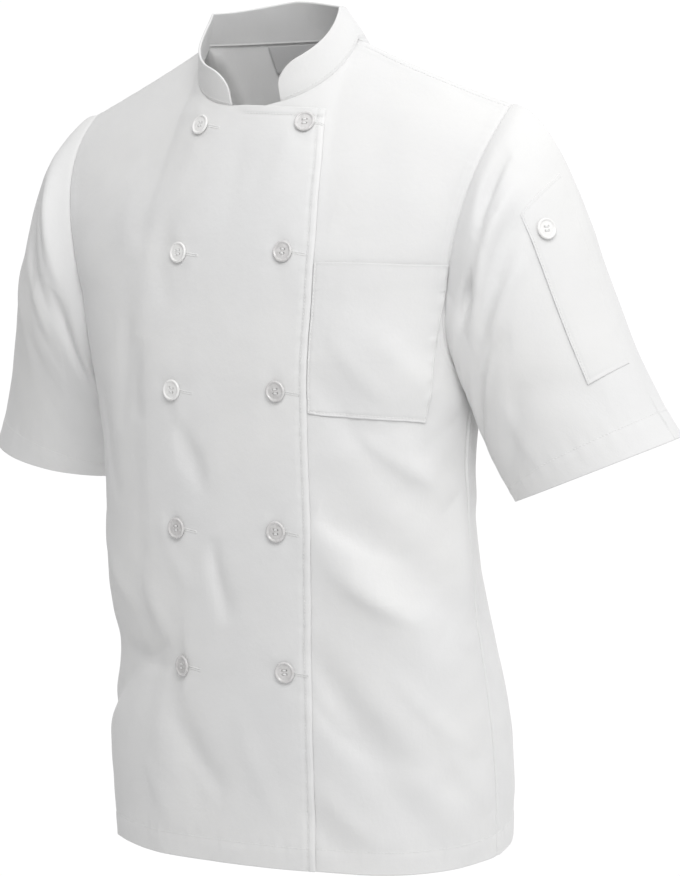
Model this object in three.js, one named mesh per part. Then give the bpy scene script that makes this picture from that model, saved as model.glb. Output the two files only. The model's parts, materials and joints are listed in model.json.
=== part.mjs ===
// Short-sleeved, double-breasted chef jacket, filled out as if worn, with no wearer.
// Millimetres, +Z up, the front faces -Y and the wearer's left is +X.
// The origin is the middle of the neck opening, level with the side neck points.
import * as THREE from "three";

// Cloth, gaps and hems
const CLOTH = 1.5;
const COLLAR_CLOTH = 2.4;
const TRIM_CLOTH = 1.2;
const SEAM_GAP = 0.42;
const COLLAR_GAP = 0.7;
const LIE_GAP = 0.8;
const LEAST_TURN = 0.65;
const OVERLAP_LIFT = 2.4;

// Heights
const HEM_Z = -737;
const NOTCH_Z = -225;
const UNDERARM_Z = -305;

// Share of the half width at which the armhole begins, and the neck's share of a shoulder row
const FRONT_NOTCH = 0.73;
const BACK_NOTCH = 0.72;
const NECK_SHARE = 0.36;

// Landmarks of one half; the wearer's right shoulder is held a little higher
const NECK_POINT = [83, 2, 0];
const NECK_FRONT = [0, -54, -61];
const NECK_BACK = [0, 64, 5];
const NECK_FRONT_BEND = 0.85;
const NECK_FRONT_SQUARE = 0.88;
const SHOULDER_TIP = { left: [227, 27, -62], right: [227, 27, -58] };
const SHOULDER_FROM_NECK = [50, 6, -24];
const SHOULDER_FROM_TIP = [-50, -10, 18];

// Rings of the body: half width, and depth of the front, the side seam and the back
const BODY_RINGS = [
  { z: -737, halfWidth: 195, front: -76, side: 58, back: 189 },
  { z: -660, halfWidth: 198, front: -78, side: 50, back: 185 },
  { z: -580, halfWidth: 197, front: -81, side: 38, back: 170 },
  { z: -500, halfWidth: 190, front: -85, side: 26, back: 144 },
  { z: -430, halfWidth: 186, front: -89, side: 18, back: 125 },
  { z: -350, halfWidth: 190, front: -93, side: 14, back: 119 },
  { z: -290, halfWidth: 201, front: -94, side: 13, back: 121 },
  { z: -225, halfWidth: 214, front: -90, side: 13, back: 123 },
];
// How square the rings are, across and in depth
const FRONT_FULLNESS = { across: 0.66, deep: 0.68 };
const BACK_FULLNESS = { across: 0.6, deep: 0.55 };

// Rows from the chest up to the neck and shoulder seam, 0 centre to 1 armhole: the way the cloth
// arrives at the seam, and how far each end keeps its direction
const FRONT_YOKE = [
  { t: 0, x: 0, y: 0.25, z: 0.97, arrive: 45, leave: 60 },
  { t: 0.36, x: -0.02, y: 0.55, z: 0.83, arrive: 62, leave: 75 },
  { t: 0.7, x: 0, y: 0.78, z: 0.62, arrive: 58, leave: 70 },
  { t: 1, x: -0.02, y: 0.8, z: 0.6, arrive: 66, leave: 72 },
];
const BACK_YOKE = [
  { t: 0, x: 0, y: -0.4, z: 0.92, arrive: 50, leave: 75 },
  { t: 0.36, x: 0, y: -0.75, z: 0.66, arrive: 95, leave: 80 },
  { t: 0.7, x: 0, y: -0.85, z: 0.5, arrive: 78, leave: 75 },
  { t: 1, x: 0, y: -0.8, z: 0.55, arrive: 62, leave: 66 },
];
const FRONT_SKEW = -0.2;
const BACK_SKEW = 0.08;

// Sleeve: round the armhole from the shoulder tip over the front, the way it leaves
const SLEEVE_START = [
  { round: 0, x: 0.97, y: -0.1, z: -0.12, leave: 74, arrive: 125 },
  { round: 0.12, x: 0.88, y: -0.5, z: -0.12, leave: 75, arrive: 118 },
  { round: 0.25, x: 0.8, y: -0.54, z: -0.3, leave: 74, arrive: 100 },
  { round: 0.38, x: 0.6, y: -0.25, z: -0.8, leave: 45, arrive: 60 },
  { round: 0.5, x: 0.35, y: 0.05, z: -0.94, leave: 30, arrive: 40 },
  { round: 0.75, x: 0.75, y: 0.45, z: -0.5, leave: 50, arrive: 85 },
  { round: 0.88, x: 0.92, y: 0.25, z: -0.3, leave: 62, arrive: 115 },
  { round: 1, x: 0.97, y: -0.1, z: -0.12, leave: 74, arrive: 125 },
];
const CUFF = {
  left: { centre: [287, 78, -384], outward: 80, forward: 71, tiltDegrees: 20 },
  right: { centre: [294, 78, -380], outward: 79, forward: 70, tiltDegrees: 13.5 },
};
const CUFF_BACK_LIFT_DEGREES = 9;
const CUFF_AXIS_SHARE = 0.8;
const CUFF_APPROACH = [0.35, 0.05, -0.2];

// Stand collar with rounded ends, which stand apart from the centre by different amounts
const COLLAR_END_X = { left: 34, right: 17 };
const COLLAR_END = { round: 24, share: 0.4 };
// Share from an end to the middle of the back, lean inwards and backwards, height
const COLLAR_RISE = [
  { f: 0, x: 0, y: -0.3, high: 30 },
  { f: 0.12, x: -0.08, y: -0.32, high: 31 },
  { f: 0.3, x: -0.25, y: -0.36, high: 31 },
  { f: 0.5, x: -0.5, y: -0.42, high: 33 },
  { f: 0.65, x: -0.5, y: -0.5, high: 35 },
  { f: 0.8, x: -0.34, y: -0.6, high: 38 },
  { f: 1, x: 0, y: -0.62, high: 41 },
];

// Free edge of the overlap, which lies on the wearer's left
const OVERLAP_EDGE = [
  { z: -737, x: 83 },
  { z: -560, x: 83 },
  { z: -430, x: 86 },
  { z: -320, x: 86 },
  { z: -200, x: 90 },
  { z: -120, x: 84 },
  { z: -66, x: 76 },
  { z: -20, x: 76 },
];
const OVERLAP_TOP = { z: -61, drop: 5 };
const UNDERLAP_TOP = { z: -64, drop: 6 };
// Below the neck the overlap's lift sets in over this fall
const LIFT_FALL = { from: -50, over: 16 };

// Folds of the body: degrees round from the front centre towards the wearer's left, height,
// half width and height of the ridge, or depth of the trough below zero
const BODY_FOLDS = [
  { a0: 52, z0: -255, a1: 76, z1: -345, wide: 17, high: 4 },
  { a0: 44, z0: -300, a1: 70, z1: -405, wide: 15, high: -4 },
  { a0: 60, z0: -362, a1: 80, z1: -412, wide: 14, high: 4 },
  { a0: 48, z0: -400, a1: 84, z1: -520, wide: 20, high: -6 },
  { a0: 42, z0: -440, a1: 74, z1: -560, wide: 20, high: 6 },
  { a0: 38, z0: -545, a1: 66, z1: -705, wide: 18, high: -6 },
  { a0: 52, z0: -590, a1: 78, z1: -720, wide: 22, high: 5 },
  { a0: 88, z0: -400, a1: 84, z1: -535, wide: 15, high: 7 },
  { a0: 99, z0: -430, a1: 97, z1: -600, wide: 17, high: -8 },
  { a0: 122, z0: -500, a1: 116, z1: -735, wide: 24, high: 9 },
  { a0: 146, z0: -420, a1: 150, z1: -735, wide: 24, high: -9 },
  { a0: 172, z0: -470, a1: 176, z1: -735, wide: 26, high: 8 },
  { a0: -158, z0: -430, a1: -154, z1: -735, wide: 24, high: -8 },
  { a0: -130, z0: -500, a1: -124, z1: -735, wide: 24, high: 8 },
  { a0: 170, z0: -375, a1: 126, z1: -460, wide: 22, high: -5 },
  { a0: -168, z0: -395, a1: -124, z1: -485, wide: 22, high: -5 },
  { a0: 126, z0: -150, a1: 134, z1: -330, wide: 16, high: -5 },
  { a0: -126, z0: -150, a1: -134, z1: -330, wide: 16, high: -5 },
  { a0: -98, z0: -430, a1: -96, z1: -600, wide: 18, high: -7 },
  { a0: -84, z0: -640, a1: -52, z1: -556, wide: 13, high: -5 },
  { a0: -50, z0: -255, a1: -54, z1: -345, wide: 10, high: -4 },
  { a0: -34, z0: -585, a1: -14, z1: -690, wide: 16, high: -3 },
  { a0: -22, z0: -345, a1: -10, z1: -405, wide: 13, high: -2.5 },
  { a0: -94, z0: -562, a1: -30, z1: -562, wide: 44, high: -16 },
];
const MM_PER_DEGREE = 3;
// Folds set in below the shoulders, and down from the armhole on a sleeve
const BODY_CALM = { from: -95, over: 60 };
const SLEEVE_CALM = 0.12;
// How a fold thins out along its length
const FOLD_END = { reach: 0.62, power: 0.6, past: 0.1 };

// How much the hem's edge rises, by degrees round; it fades out over the height above it
const HEM_RISE = [
  { a: -180, rise: 0 },
  { a: -80, rise: 2 },
  { a: -57, rise: 5 },
  { a: -40, rise: 1 },
  { a: 0, rise: -1.5 },
  { a: 33, rise: -3.5 },
  { a: 60, rise: -4.5 },
  { a: 85, rise: 2 },
  { a: 105, rise: 12 },
  { a: 123, rise: 17 },
  { a: 150, rise: 8 },
  { a: 180, rise: 0 },
];
const HEM_RISE_OVER = 140;

// Folds of a sleeve: share of the way round and down, in the same manner
const LEFT_SLEEVE_FOLDS = [
  { f0: 0.09, w0: 0.12, f1: 0.21, w1: 0.16, wide: 12, high: -6 },
  { f0: 0.1, w0: 0.27, f1: 0.2, w1: 0.26, wide: 11, high: 5 },
  { f0: 0.13, w0: 0.34, f1: 0.3, w1: 0.4, wide: 14, high: -7 },
  { f0: 0.27, w0: 0.24, f1: 0.33, w1: 0.18, wide: 12, high: -8 },
  { f0: 0.33, w0: 0.5, f1: 0.42, w1: 0.62, wide: 13, high: -6 },
  { f0: 0.24, w0: 0.7, f1: 0.36, w1: 0.9, wide: 16, high: -4 },
  { f0: 0.68, w0: 0.18, f1: 0.6, w1: 0.5, wide: 16, high: -7 },
  { f0: 0.8, w0: 0.2, f1: 0.72, w1: 0.6, wide: 16, high: 5 },
];
const RIGHT_SLEEVE_FOLDS = [
  { f0: 0.08, w0: 0.1, f1: 0.28, w1: 0.12, wide: 12, high: 6 },
  { f0: 0.1, w0: 0.24, f1: 0.3, w1: 0.3, wide: 14, high: -6 },
  { f0: 0.3, w0: 0.2, f1: 0.4, w1: 0.35, wide: 14, high: -8 },
  { f0: 0.68, w0: 0.18, f1: 0.6, w1: 0.5, wide: 16, high: -7 },
  { f0: 0.8, w0: 0.2, f1: 0.72, w1: 0.6, wide: 16, high: 5 },
  { f0: 0, w0: 0.36, f1: 0.22, w1: 0.36, wide: 36, high: -7 },
];
const SLEEVE_ROUND_MM = 460;
const SLEEVE_DOWN_MM = 260;

// Buttons, in rows with the place of the wearer's right and left one
const BUTTON = { radius: 9.5, thick: 3.2, rim: 1.9, dish: 1, steps: 16 };
const BUTTON_ROWS = [
  { z: -77, right: -47, left: 62 },
  { z: -192, right: -51, left: 61 },
  { z: -315, right: -53, left: 58 },
  { z: -439, right: -52, left: 55 },
  { z: -564, right: -53, left: 59 },
];
const BUTTON_GAP = 0.55;

// Patch pockets and the neck label, as heights and as shares of their panel's rows and columns
const CHEST_POCKET = { top: -203, bottom: -334, outerBottom: -342, edgeMargin: 0.12, armMargin: 0.08 };
const SLEEVE_POCKET = { front: 0.12, back: 0.02, top: 0.33, bottom: 0.8 };
const SLEEVE_BUTTON = { round: 0.09, down: 0.42 };
const LABEL = { halfWidth: 48, height: 20, below: 2 };
const LEAST_STEP = 0.05;

// Cells of the panels
const OVERLAP_COLUMNS = 5;
const NECK_COLUMNS = 2;
const SHOULDER_COLUMNS = 5;
const SIDE_COLUMNS = 5;
const BODY_ROWS = 24;
const YOKE_ROWS = 10;
const SLEEVE_ROWS = 9;
const COLLAR_SPLIT = 2;
const COLLAR_ROWS = 3;
const NECK_END = OVERLAP_COLUMNS + NECK_COLUMNS;
const ARM_COLUMN = NECK_END + SHOULDER_COLUMNS;
const SIDE_COLUMN = ARM_COLUMN + SIDE_COLUMNS;
const TOP_ROW = BODY_ROWS + YOKE_ROWS;

const COLOURS = {
  cloth: { color: 0xf4f4f2, roughness: 0.9, metalness: 0 },
  button: { color: 0xe6e5e0, roughness: 0.35, metalness: 0 },
  label: { color: 0x151517, roughness: 0.85, metalness: 0 },
};

// Vectors
const add = (a, b) => [a[0] + b[0], a[1] + b[1], a[2] + b[2]];
const sub = (a, b) => [a[0] - b[0], a[1] - b[1], a[2] - b[2]];
const mul = (a, s) => [a[0] * s, a[1] * s, a[2] * s];
const dot = (a, b) => a[0] * b[0] + a[1] * b[1] + a[2] * b[2];
const size = (a) => Math.hypot(a[0], a[1], a[2]);
const unit = (a) => mul(a, 1 / (size(a) || 1));
const cross = (a, b) => [
  a[1] * b[2] - a[2] * b[1],
  a[2] * b[0] - a[0] * b[2],
  a[0] * b[1] - a[1] * b[0],
];
const mix = (a, b, t) => add(mul(a, 1 - t), mul(b, t));
const clamp = (x, low = 0, high = 1) => Math.min(high, Math.max(low, x));
const mirror = (p) => [-p[0], p[1], p[2]];

// Smooth curve through a table's column
function read(rows, key, column, at) {
  const last = rows.length - 1;
  const x = clamp(at, rows[0][key], rows[last][key]);
  let i = 0;
  while (i < last - 1 && x > rows[i + 1][key]) i += 1;
  const slope = (j) => {
    const a = rows[Math.max(j - 1, 0)];
    const b = rows[Math.min(j + 1, last)];
    return (b[column] - a[column]) / (b[key] - a[key]);
  };
  const step = rows[i + 1][key] - rows[i][key];
  const t = (x - rows[i][key]) / step;
  const start = (2 * t ** 3 - 3 * t ** 2 + 1) * rows[i][column];
  const end = (3 * t ** 2 - 2 * t ** 3) * rows[i + 1][column];
  const bends = (t ** 3 - 2 * t ** 2 + t) * slope(i) + (t ** 3 - t ** 2) * slope(i + 1);
  return start + end + bends * step;
}

function curve(p0, p1, p2, p3, t) {
  const s = 1 - t;
  const near = add(mul(p0, s ** 3), mul(p1, 3 * s * s * t));
  const far = add(mul(p2, 3 * s * t * t), mul(p3, t ** 3));
  return add(near, far);
}

function bisect(low, high, isBelow) {
  let a = low;
  let b = high;
  for (let i = 0; i < 40; i += 1) {
    const middle = (a + b) / 2;
    if (isBelow(middle)) a = middle;
    else b = middle;
  }
  return (a + b) / 2;
}

// Half of a ring, u from its centre line to the side seam
function ringPoint(half, u, z) {
  const width = read(BODY_RINGS, "z", "halfWidth", z);
  const side = read(BODY_RINGS, "z", "side", z);
  const centre = read(BODY_RINGS, "z", half, z);
  const full = half === "front" ? FRONT_FULLNESS : BACK_FULLNESS;
  const s = 1 - u;
  const x = width * (3 * s * s * u * full.across + 3 * s * u * u + u ** 3);
  const y = centre + (side - centre) * (3 * s * u * u * (1 - full.deep) + u ** 3);
  return [x, y, z];
}

const notchOf = (half) => (half === "front" ? FRONT_NOTCH : BACK_NOTCH);
const sideName = (side) => (side > 0 ? "left" : "right");

// Body below the armhole, v from the hem to the row that dips under the arm
function bodyPoint(half, u, v) {
  const notch = notchOf(half);
  const q = clamp((u - notch) / (1 - notch));
  const dip = (NOTCH_Z - UNDERARM_Z) * Math.sqrt(Math.max(0, 1 - (1 - q) ** 2));
  return ringPoint(half, u, HEM_Z + (NOTCH_Z - HEM_Z) * v - dip * v ** 6);
}

function neckPoint(half, share) {
  const angle = (share * Math.PI) / 2;
  const middle = half === "front" ? NECK_FRONT : NECK_BACK;
  const bend = half === "front" ? NECK_FRONT_BEND : 1;
  const square = half === "front" ? NECK_FRONT_SQUARE : 1;
  const x = NECK_POINT[0] * Math.sin(angle) ** square;
  const y = NECK_POINT[1] + (middle[1] - NECK_POINT[1]) * Math.cos(angle);
  return [x, y, middle[2] * Math.max(0, Math.cos(angle)) ** bend];
}

function shoulderPoint(side, share) {
  const tip = SHOULDER_TIP[sideName(side)];
  const fromNeck = add(NECK_POINT, SHOULDER_FROM_NECK);
  const fromTip = add(tip, SHOULDER_FROM_TIP);
  return curve(NECK_POINT, fromNeck, fromTip, tip, share);
}

function topPoint(half, side, t) {
  if (t <= NECK_SHARE) return neckPoint(half, t / NECK_SHARE);
  return shoulderPoint(side, (t - NECK_SHARE) / (1 - NECK_SHARE));
}

// Body above the armhole's notch, w from there to the neck and shoulder seam
function yokePoint(half, side, t, w) {
  const u = t * notchOf(half);
  const rows = half === "front" ? FRONT_YOKE : BACK_YOKE;
  const skew = half === "front" ? FRONT_SKEW : BACK_SKEW;
  const start = ringPoint(half, u, NOTCH_Z);
  const rise = unit(sub(start, ringPoint(half, u, NOTCH_Z - 4)));
  const leave = add(rise, [0, skew * t ** 4, 0]);
  const end = topPoint(half, side, t);
  const arrive = unit(["x", "y", "z"].map((axis) => read(rows, "t", axis, t)));
  const p1 = add(start, mul(leave, read(rows, "t", "leave", t)));
  const p2 = sub(end, mul(arrive, read(rows, "t", "arrive", t)));
  return curve(start, p1, p2, end, w);
}

// Columns are shared by both fronts: the overlap's edge and the collar's end each have one
const edgeX = (z) => read(OVERLAP_EDGE, "z", "x", z);
const edgeOnYoke = (w) =>
  bisect(0, 0.6, (t) => {
    const p = yokePoint("front", 1, t, w);
    return p[0] < edgeX(p[2]);
  });
const edgeOnBody = (v) =>
  bisect(0, 0.6, (u) => {
    const p = bodyPoint("front", u, v);
    return p[0] < edgeX(p[2]);
  });
const EDGE_AT_TOP = edgeOnYoke(1);
const firstColumn = (side) => {
  const across = COLLAR_END_X[sideName(side)] / NECK_POINT[0];
  const share = Math.asin(across ** (1 / NECK_FRONT_SQUARE)) / (Math.PI / 2);
  return (share * NECK_SHARE) / EDGE_AT_TOP;
};

function columnShare(side, k, edge, end) {
  if (k === 0) return 0;
  if (k <= OVERLAP_COLUMNS) {
    const first = firstColumn(side);
    return edge * (first + ((1 - first) * (k - 1)) / (OVERLAP_COLUMNS - 1));
  }
  const neck = (NECK_SHARE - EDGE_AT_TOP) / (1 - EDGE_AT_TOP);
  const past = k - OVERLAP_COLUMNS;
  const share =
    past <= NECK_COLUMNS
      ? (neck * past) / NECK_COLUMNS
      : neck + ((1 - neck) * (past - NECK_COLUMNS)) / SHOULDER_COLUMNS;
  return edge + (end - edge) * share;
}

function halfPoint(half, side, k, row, topShare = 1) {
  const notch = notchOf(half);
  if (row > BODY_ROWS) {
    const w = ((row - BODY_ROWS) / YOKE_ROWS) * topShare;
    const edge = half === "front" ? edgeOnYoke(w) : EDGE_AT_TOP;
    return yokePoint(half, side, columnShare(side, k, edge, 1), w);
  }
  const v = row / BODY_ROWS;
  if (k > ARM_COLUMN) {
    const angle = (((k - ARM_COLUMN) / SIDE_COLUMNS) * Math.PI) / 2;
    return bodyPoint(half, notch + (1 - notch) * (1 - Math.cos(angle)), v);
  }
  const edge = half === "front" ? edgeOnBody(v) : EDGE_AT_TOP * notch;
  return bodyPoint(half, columnShare(side, k, edge, notch), v);
}

// Share of the yoke's rows at which an overlap's straight top edge is reached
function overlapTop(side, k, edge) {
  return bisect(0.2, 1, (w) => {
    const p = yokePoint("front", side, columnShare(side, k, edgeOnYoke(w), 1), w);
    return p[2] < edge.z - (edge.drop * p[0]) / edgeX(edge.z);
  });
}

// Folds
function bump(along, away, wide, high, reach) {
  const fade = clamp(1 - Math.abs(along - 0.5) / FOLD_END.reach);
  const taper = along < 0 || along > 1 ? Math.exp(-((reach / wide) ** 2)) : 1;
  return high * Math.exp(-((away / wide) ** 2)) * taper * fade ** FOLD_END.power;
}

function foldHeight(x, z, x0, z0, x1, z1, wide, high) {
  const dx = x1 - x0;
  const dz = z1 - z0;
  const length = Math.hypot(dx, dz);
  const along = ((x - x0) * dx + (z - z0) * dz) / (length * length);
  const away = ((x - x0) * dz - (z - z0) * dx) / length;
  const reach = (Math.max(-along, along - 1, 0)) * length;
  const held = clamp(along, -FOLD_END.past, 1 + FOLD_END.past);
  return bump(held, away, wide, high, reach);
}

function foldBody(p) {
  const side = read(BODY_RINGS, "z", "side", p[2]);
  const out = unit([p[0], p[1] - side, 0]);
  const degrees = (Math.atan2(p[0], side - p[1]) * 180) / Math.PI;
  let height = 0;
  for (const f of BODY_FOLDS) {
    let turn = degrees - f.a0;
    if (turn > 180) turn -= 360;
    if (turn < -180) turn += 360;
    const x = turn * MM_PER_DEGREE;
    const x1 = (f.a1 - f.a0) * MM_PER_DEGREE;
    height += foldHeight(x, p[2], 0, f.z0, x1, f.z1, f.wide, f.high);
  }
  const calm = clamp((BODY_CALM.from - p[2]) / BODY_CALM.over);
  const nearHem = clamp((HEM_Z + HEM_RISE_OVER - p[2]) / HEM_RISE_OVER);
  const rise = read(HEM_RISE, "a", "rise", degrees) * nearHem ** 2;
  return add(add(p, mul(out, height * calm)), [0, 0, rise]);
}

// Panels: shared points, cells seen from outside, and the raised points of the overlap
const keyOf = (p) => p.map((x) => Math.round(x * 200)).join();

function newPanel(name, wall, family = "body") {
  return { name, wall, family, points: [], cells: [], lifts: [], index: new Map() };
}

function addPoint(panel, p, lift = 0) {
  const key = keyOf(p);
  if (!panel.index.has(key)) {
    panel.index.set(key, panel.points.length);
    panel.points.push(p);
    panel.lifts.push(lift);
  }
  return panel.index.get(key);
}

function addCells(panel, ids, flip) {
  for (let k = 0; k + 1 < ids.length; k += 1) {
    const rows = Math.min(ids[k].length, ids[k + 1].length) - 1;
    for (let j = 0; j < rows; j += 1) {
      const cell = [ids[k][j], ids[k + 1][j], ids[k + 1][j + 1], ids[k][j + 1]];
      panel.cells.push(flip ? cell.reverse() : cell);
    }
  }
}

function cornersToNormals(points, cells) {
  const normals = points.map(() => [0, 0, 0]);
  for (const cell of cells) {
    const across = sub(points[cell[2]], points[cell[0]]);
    const down = sub(points[cell[3]], points[cell[1]]);
    const face = cross(across, down);
    for (const id of cell) normals[id] = add(normals[id], face);
  }
  return normals.map(unit);
}

function liftPanel(panel) {
  const normals = cornersToNormals(panel.points, panel.cells);
  panel.points = panel.points.map((p, i) => add(p, mul(normals[i], panel.lifts[i])));
  panel.normals = cornersToNormals(panel.points, panel.cells);
}

// Own half of a front or back, side +1 on the wearer's left
function addHalf(panel, half, side, topShareOf, liftOf) {
  const ids = [];
  for (let k = 0; k <= SIDE_COLUMN; k += 1) {
    const rows = k <= ARM_COLUMN ? TOP_ROW : BODY_ROWS;
    const column = [];
    for (let row = 0; row <= rows; row += 1) {
      const flat = halfPoint(half, side, k, row, topShareOf(k));
      const p = foldBody(side > 0 ? flat : mirror(flat));
      column.push(addPoint(panel, p, liftOf(k, flat[2])));
    }
    ids.push(column);
  }
  addCells(panel, ids, (side > 0) === (half === "back"));
  return ids;
}

// Part of a front that reaches over to the other half
function addOverlap(panel, side, edge, lift) {
  const ids = [];
  for (let k = 0; k <= OVERLAP_COLUMNS; k += 1) {
    const top = overlapTop(side, k, edge);
    const column = [];
    for (let row = 0; row <= TOP_ROW; row += 1) {
      const flat = halfPoint("front", side, k, row, top);
      column.push(addPoint(panel, foldBody(side > 0 ? flat : mirror(flat)), lift));
    }
    ids.push(column);
  }
  addCells(panel, ids, side < 0);
  return ids;
}

function makeRightFront() {
  const panel = newPanel("front_right", CLOTH);
  const liftOf = (k, z) => {
    if (k === 0) return OVERLAP_LIFT;
    const fall = clamp((LIFT_FALL.from - z) / LIFT_FALL.over);
    return k <= OVERLAP_COLUMNS ? OVERLAP_LIFT * fall : 0;
  };
  const topOf = (k) => (k === 0 ? overlapTop(-1, 0, OVERLAP_TOP) : 1);
  panel.own = addHalf(panel, "front", -1, topOf, liftOf);
  panel.over = addOverlap(panel, 1, OVERLAP_TOP, OVERLAP_LIFT);
  liftPanel(panel);
  return panel;
}

function makeLeftFront() {
  const panel = newPanel("front_left", CLOTH);
  const topOf = (k) => (k === 0 ? overlapTop(1, 0, UNDERLAP_TOP) : 1);
  panel.own = addHalf(panel, "front", 1, topOf, () => 0);
  panel.over = addOverlap(panel, -1, UNDERLAP_TOP, 0);
  liftPanel(panel);
  return panel;
}

function makeBack() {
  const panel = newPanel("back", CLOTH);
  panel.left = addHalf(panel, "back", 1, () => 1, () => 0);
  panel.right = addHalf(panel, "back", -1, () => 1, () => 0);
  liftPanel(panel);
  return panel;
}

// Armhole loop from the shoulder tip down the front, under the arm and up the back
function armholeLoop(front, frontIds, back, backIds) {
  const loop = [];
  for (let row = TOP_ROW; row >= BODY_ROWS; row -= 1) {
    loop.push(front.points[frontIds[ARM_COLUMN][row]]);
  }
  for (let k = ARM_COLUMN + 1; k <= SIDE_COLUMN; k += 1) {
    loop.push(front.points[frontIds[k][BODY_ROWS]]);
  }
  for (let k = SIDE_COLUMN - 1; k >= ARM_COLUMN; k -= 1) {
    loop.push(back.points[backIds[k][BODY_ROWS]]);
  }
  for (let row = BODY_ROWS + 1; row < TOP_ROW; row += 1) {
    loop.push(back.points[backIds[ARM_COLUMN][row]]);
  }
  return loop;
}

function sharesAround(loop) {
  const shares = [0];
  for (let i = 1; i <= loop.length; i += 1) {
    shares.push(shares[i - 1] + size(sub(loop[i % loop.length], loop[i - 1])));
  }
  return shares.map((s) => s / shares[loop.length]);
}

// Sleeve before its folds, as on the wearer's left
function sleevePoint(side, start, round, w) {
  const cuff = CUFF[sideName(side)];
  const tilt = (cuff.tiltDegrees * Math.PI) / 180;
  const lift = (CUFF_BACK_LIFT_DEGREES * Math.PI) / 180;
  const outward = [Math.cos(tilt), 0, Math.sin(tilt)];
  const backward = [0, Math.cos(lift), Math.sin(lift)];
  const angle = 2 * Math.PI * round;
  const reach = mul(outward, cuff.outward * Math.cos(angle));
  const swing = mul(backward, -cuff.forward * Math.sin(angle));
  const end = add(cuff.centre, add(reach, swing));
  const axis = mul(cross(backward, outward), CUFF_AXIS_SHARE);
  const arrive = unit(add(axis, CUFF_APPROACH));
  const leave = unit(["x", "y", "z"].map((a) => read(SLEEVE_START, "round", a, round)));
  const p1 = add(start, mul(leave, read(SLEEVE_START, "round", "leave", round)));
  const p2 = sub(end, mul(arrive, read(SLEEVE_START, "round", "arrive", round)));
  return curve(start, p1, p2, end, w);
}

function foldSleeve(p, centre, round, w, folds) {
  let height = 0;
  for (const f of folds) {
    const x = round * SLEEVE_ROUND_MM;
    const z = w * SLEEVE_DOWN_MM;
    height += foldHeight(
      x, z,
      f.f0 * SLEEVE_ROUND_MM, f.w0 * SLEEVE_DOWN_MM,
      f.f1 * SLEEVE_ROUND_MM, f.w1 * SLEEVE_DOWN_MM,
      f.wide, f.high,
    );
  }
  return add(p, mul(unit(sub(p, centre)), height * clamp(w / SLEEVE_CALM)));
}

function makeSleeve(name, side, loop, folds) {
  const panel = newPanel(name, CLOTH, "sleeve");
  const shares = sharesAround(loop);
  panel.shares = shares;
  panel.ids = loop.map(() => []);
  for (let row = 0; row <= SLEEVE_ROWS; row += 1) {
    const w = row / SLEEVE_ROWS;
    const ring = loop.map((p, i) => {
      const start = side > 0 ? p : mirror(p);
      const point = row === 0 ? start : sleevePoint(side, start, shares[i], w);
      return side > 0 ? point : mirror(point);
    });
    const centre = mul(ring.reduce(add, [0, 0, 0]), 1 / ring.length);
    ring.forEach((p, i) => {
      panel.ids[i].push(addPoint(panel, foldSleeve(p, centre, shares[i], w, folds)));
    });
  }
  addCells(panel, [...panel.ids, panel.ids[0]], side < 0);
  liftPanel(panel);
  return panel;
}

// Stand collar on the neckline, from its right end round the back to its left end
function makeCollar(rightFront, leftFront, back) {
  const rim = [];
  for (let k = 1; k <= NECK_END; k += 1) {
    rim.push(rightFront.points[rightFront.own[k][TOP_ROW]]);
  }
  for (let k = NECK_END - 1; k >= 0; k -= 1) rim.push(back.points[back.right[k][TOP_ROW]]);
  for (let k = 1; k <= NECK_END; k += 1) rim.push(back.points[back.left[k][TOP_ROW]]);
  for (let k = NECK_END - 1; k >= 1; k -= 1) {
    rim.push(leftFront.points[leftFront.own[k][TOP_ROW]]);
  }
  const base = [];
  for (let i = 0; i < (rim.length - 1) * COLLAR_SPLIT + 1; i += 1) {
    const from = Math.floor(i / COLLAR_SPLIT);
    const part = (i % COLLAR_SPLIT) / COLLAR_SPLIT;
    base.push(part ? mix(rim[from], rim[from + 1], part) : rim[from]);
  }
  const along = [0];
  for (let i = 1; i < base.length; i += 1) {
    along.push(along[i - 1] + size(sub(base[i], base[i - 1])));
  }
  const whole = along[along.length - 1];
  const panel = newPanel("collar", COLLAR_CLOTH, "collar");
  panel.ids = base.map((p, i) => {
    const fromEnd = Math.min(along[i], whole - along[i]);
    const f = (2 * fromEnd) / whole;
    const side = Math.sign(along[i] - whole / 2);
    const square = clamp(1 - fromEnd / COLLAR_END.round);
    const rounded = COLLAR_END.share + (1 - COLLAR_END.share) * Math.sqrt(1 - square ** 2);
    const height = read(COLLAR_RISE, "f", "high", f) * rounded;
    const lean = [side * read(COLLAR_RISE, "f", "x", f), read(COLLAR_RISE, "f", "y", f), 1];
    const column = [];
    for (let row = 0; row <= COLLAR_ROWS; row += 1) {
      const up = mul(unit(lean), (height * row) / COLLAR_ROWS);
      column.push(addPoint(panel, add(p, up)));
    }
    return column;
  });
  addCells(panel, panel.ids, true);
  liftPanel(panel);
  return panel;
}

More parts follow.
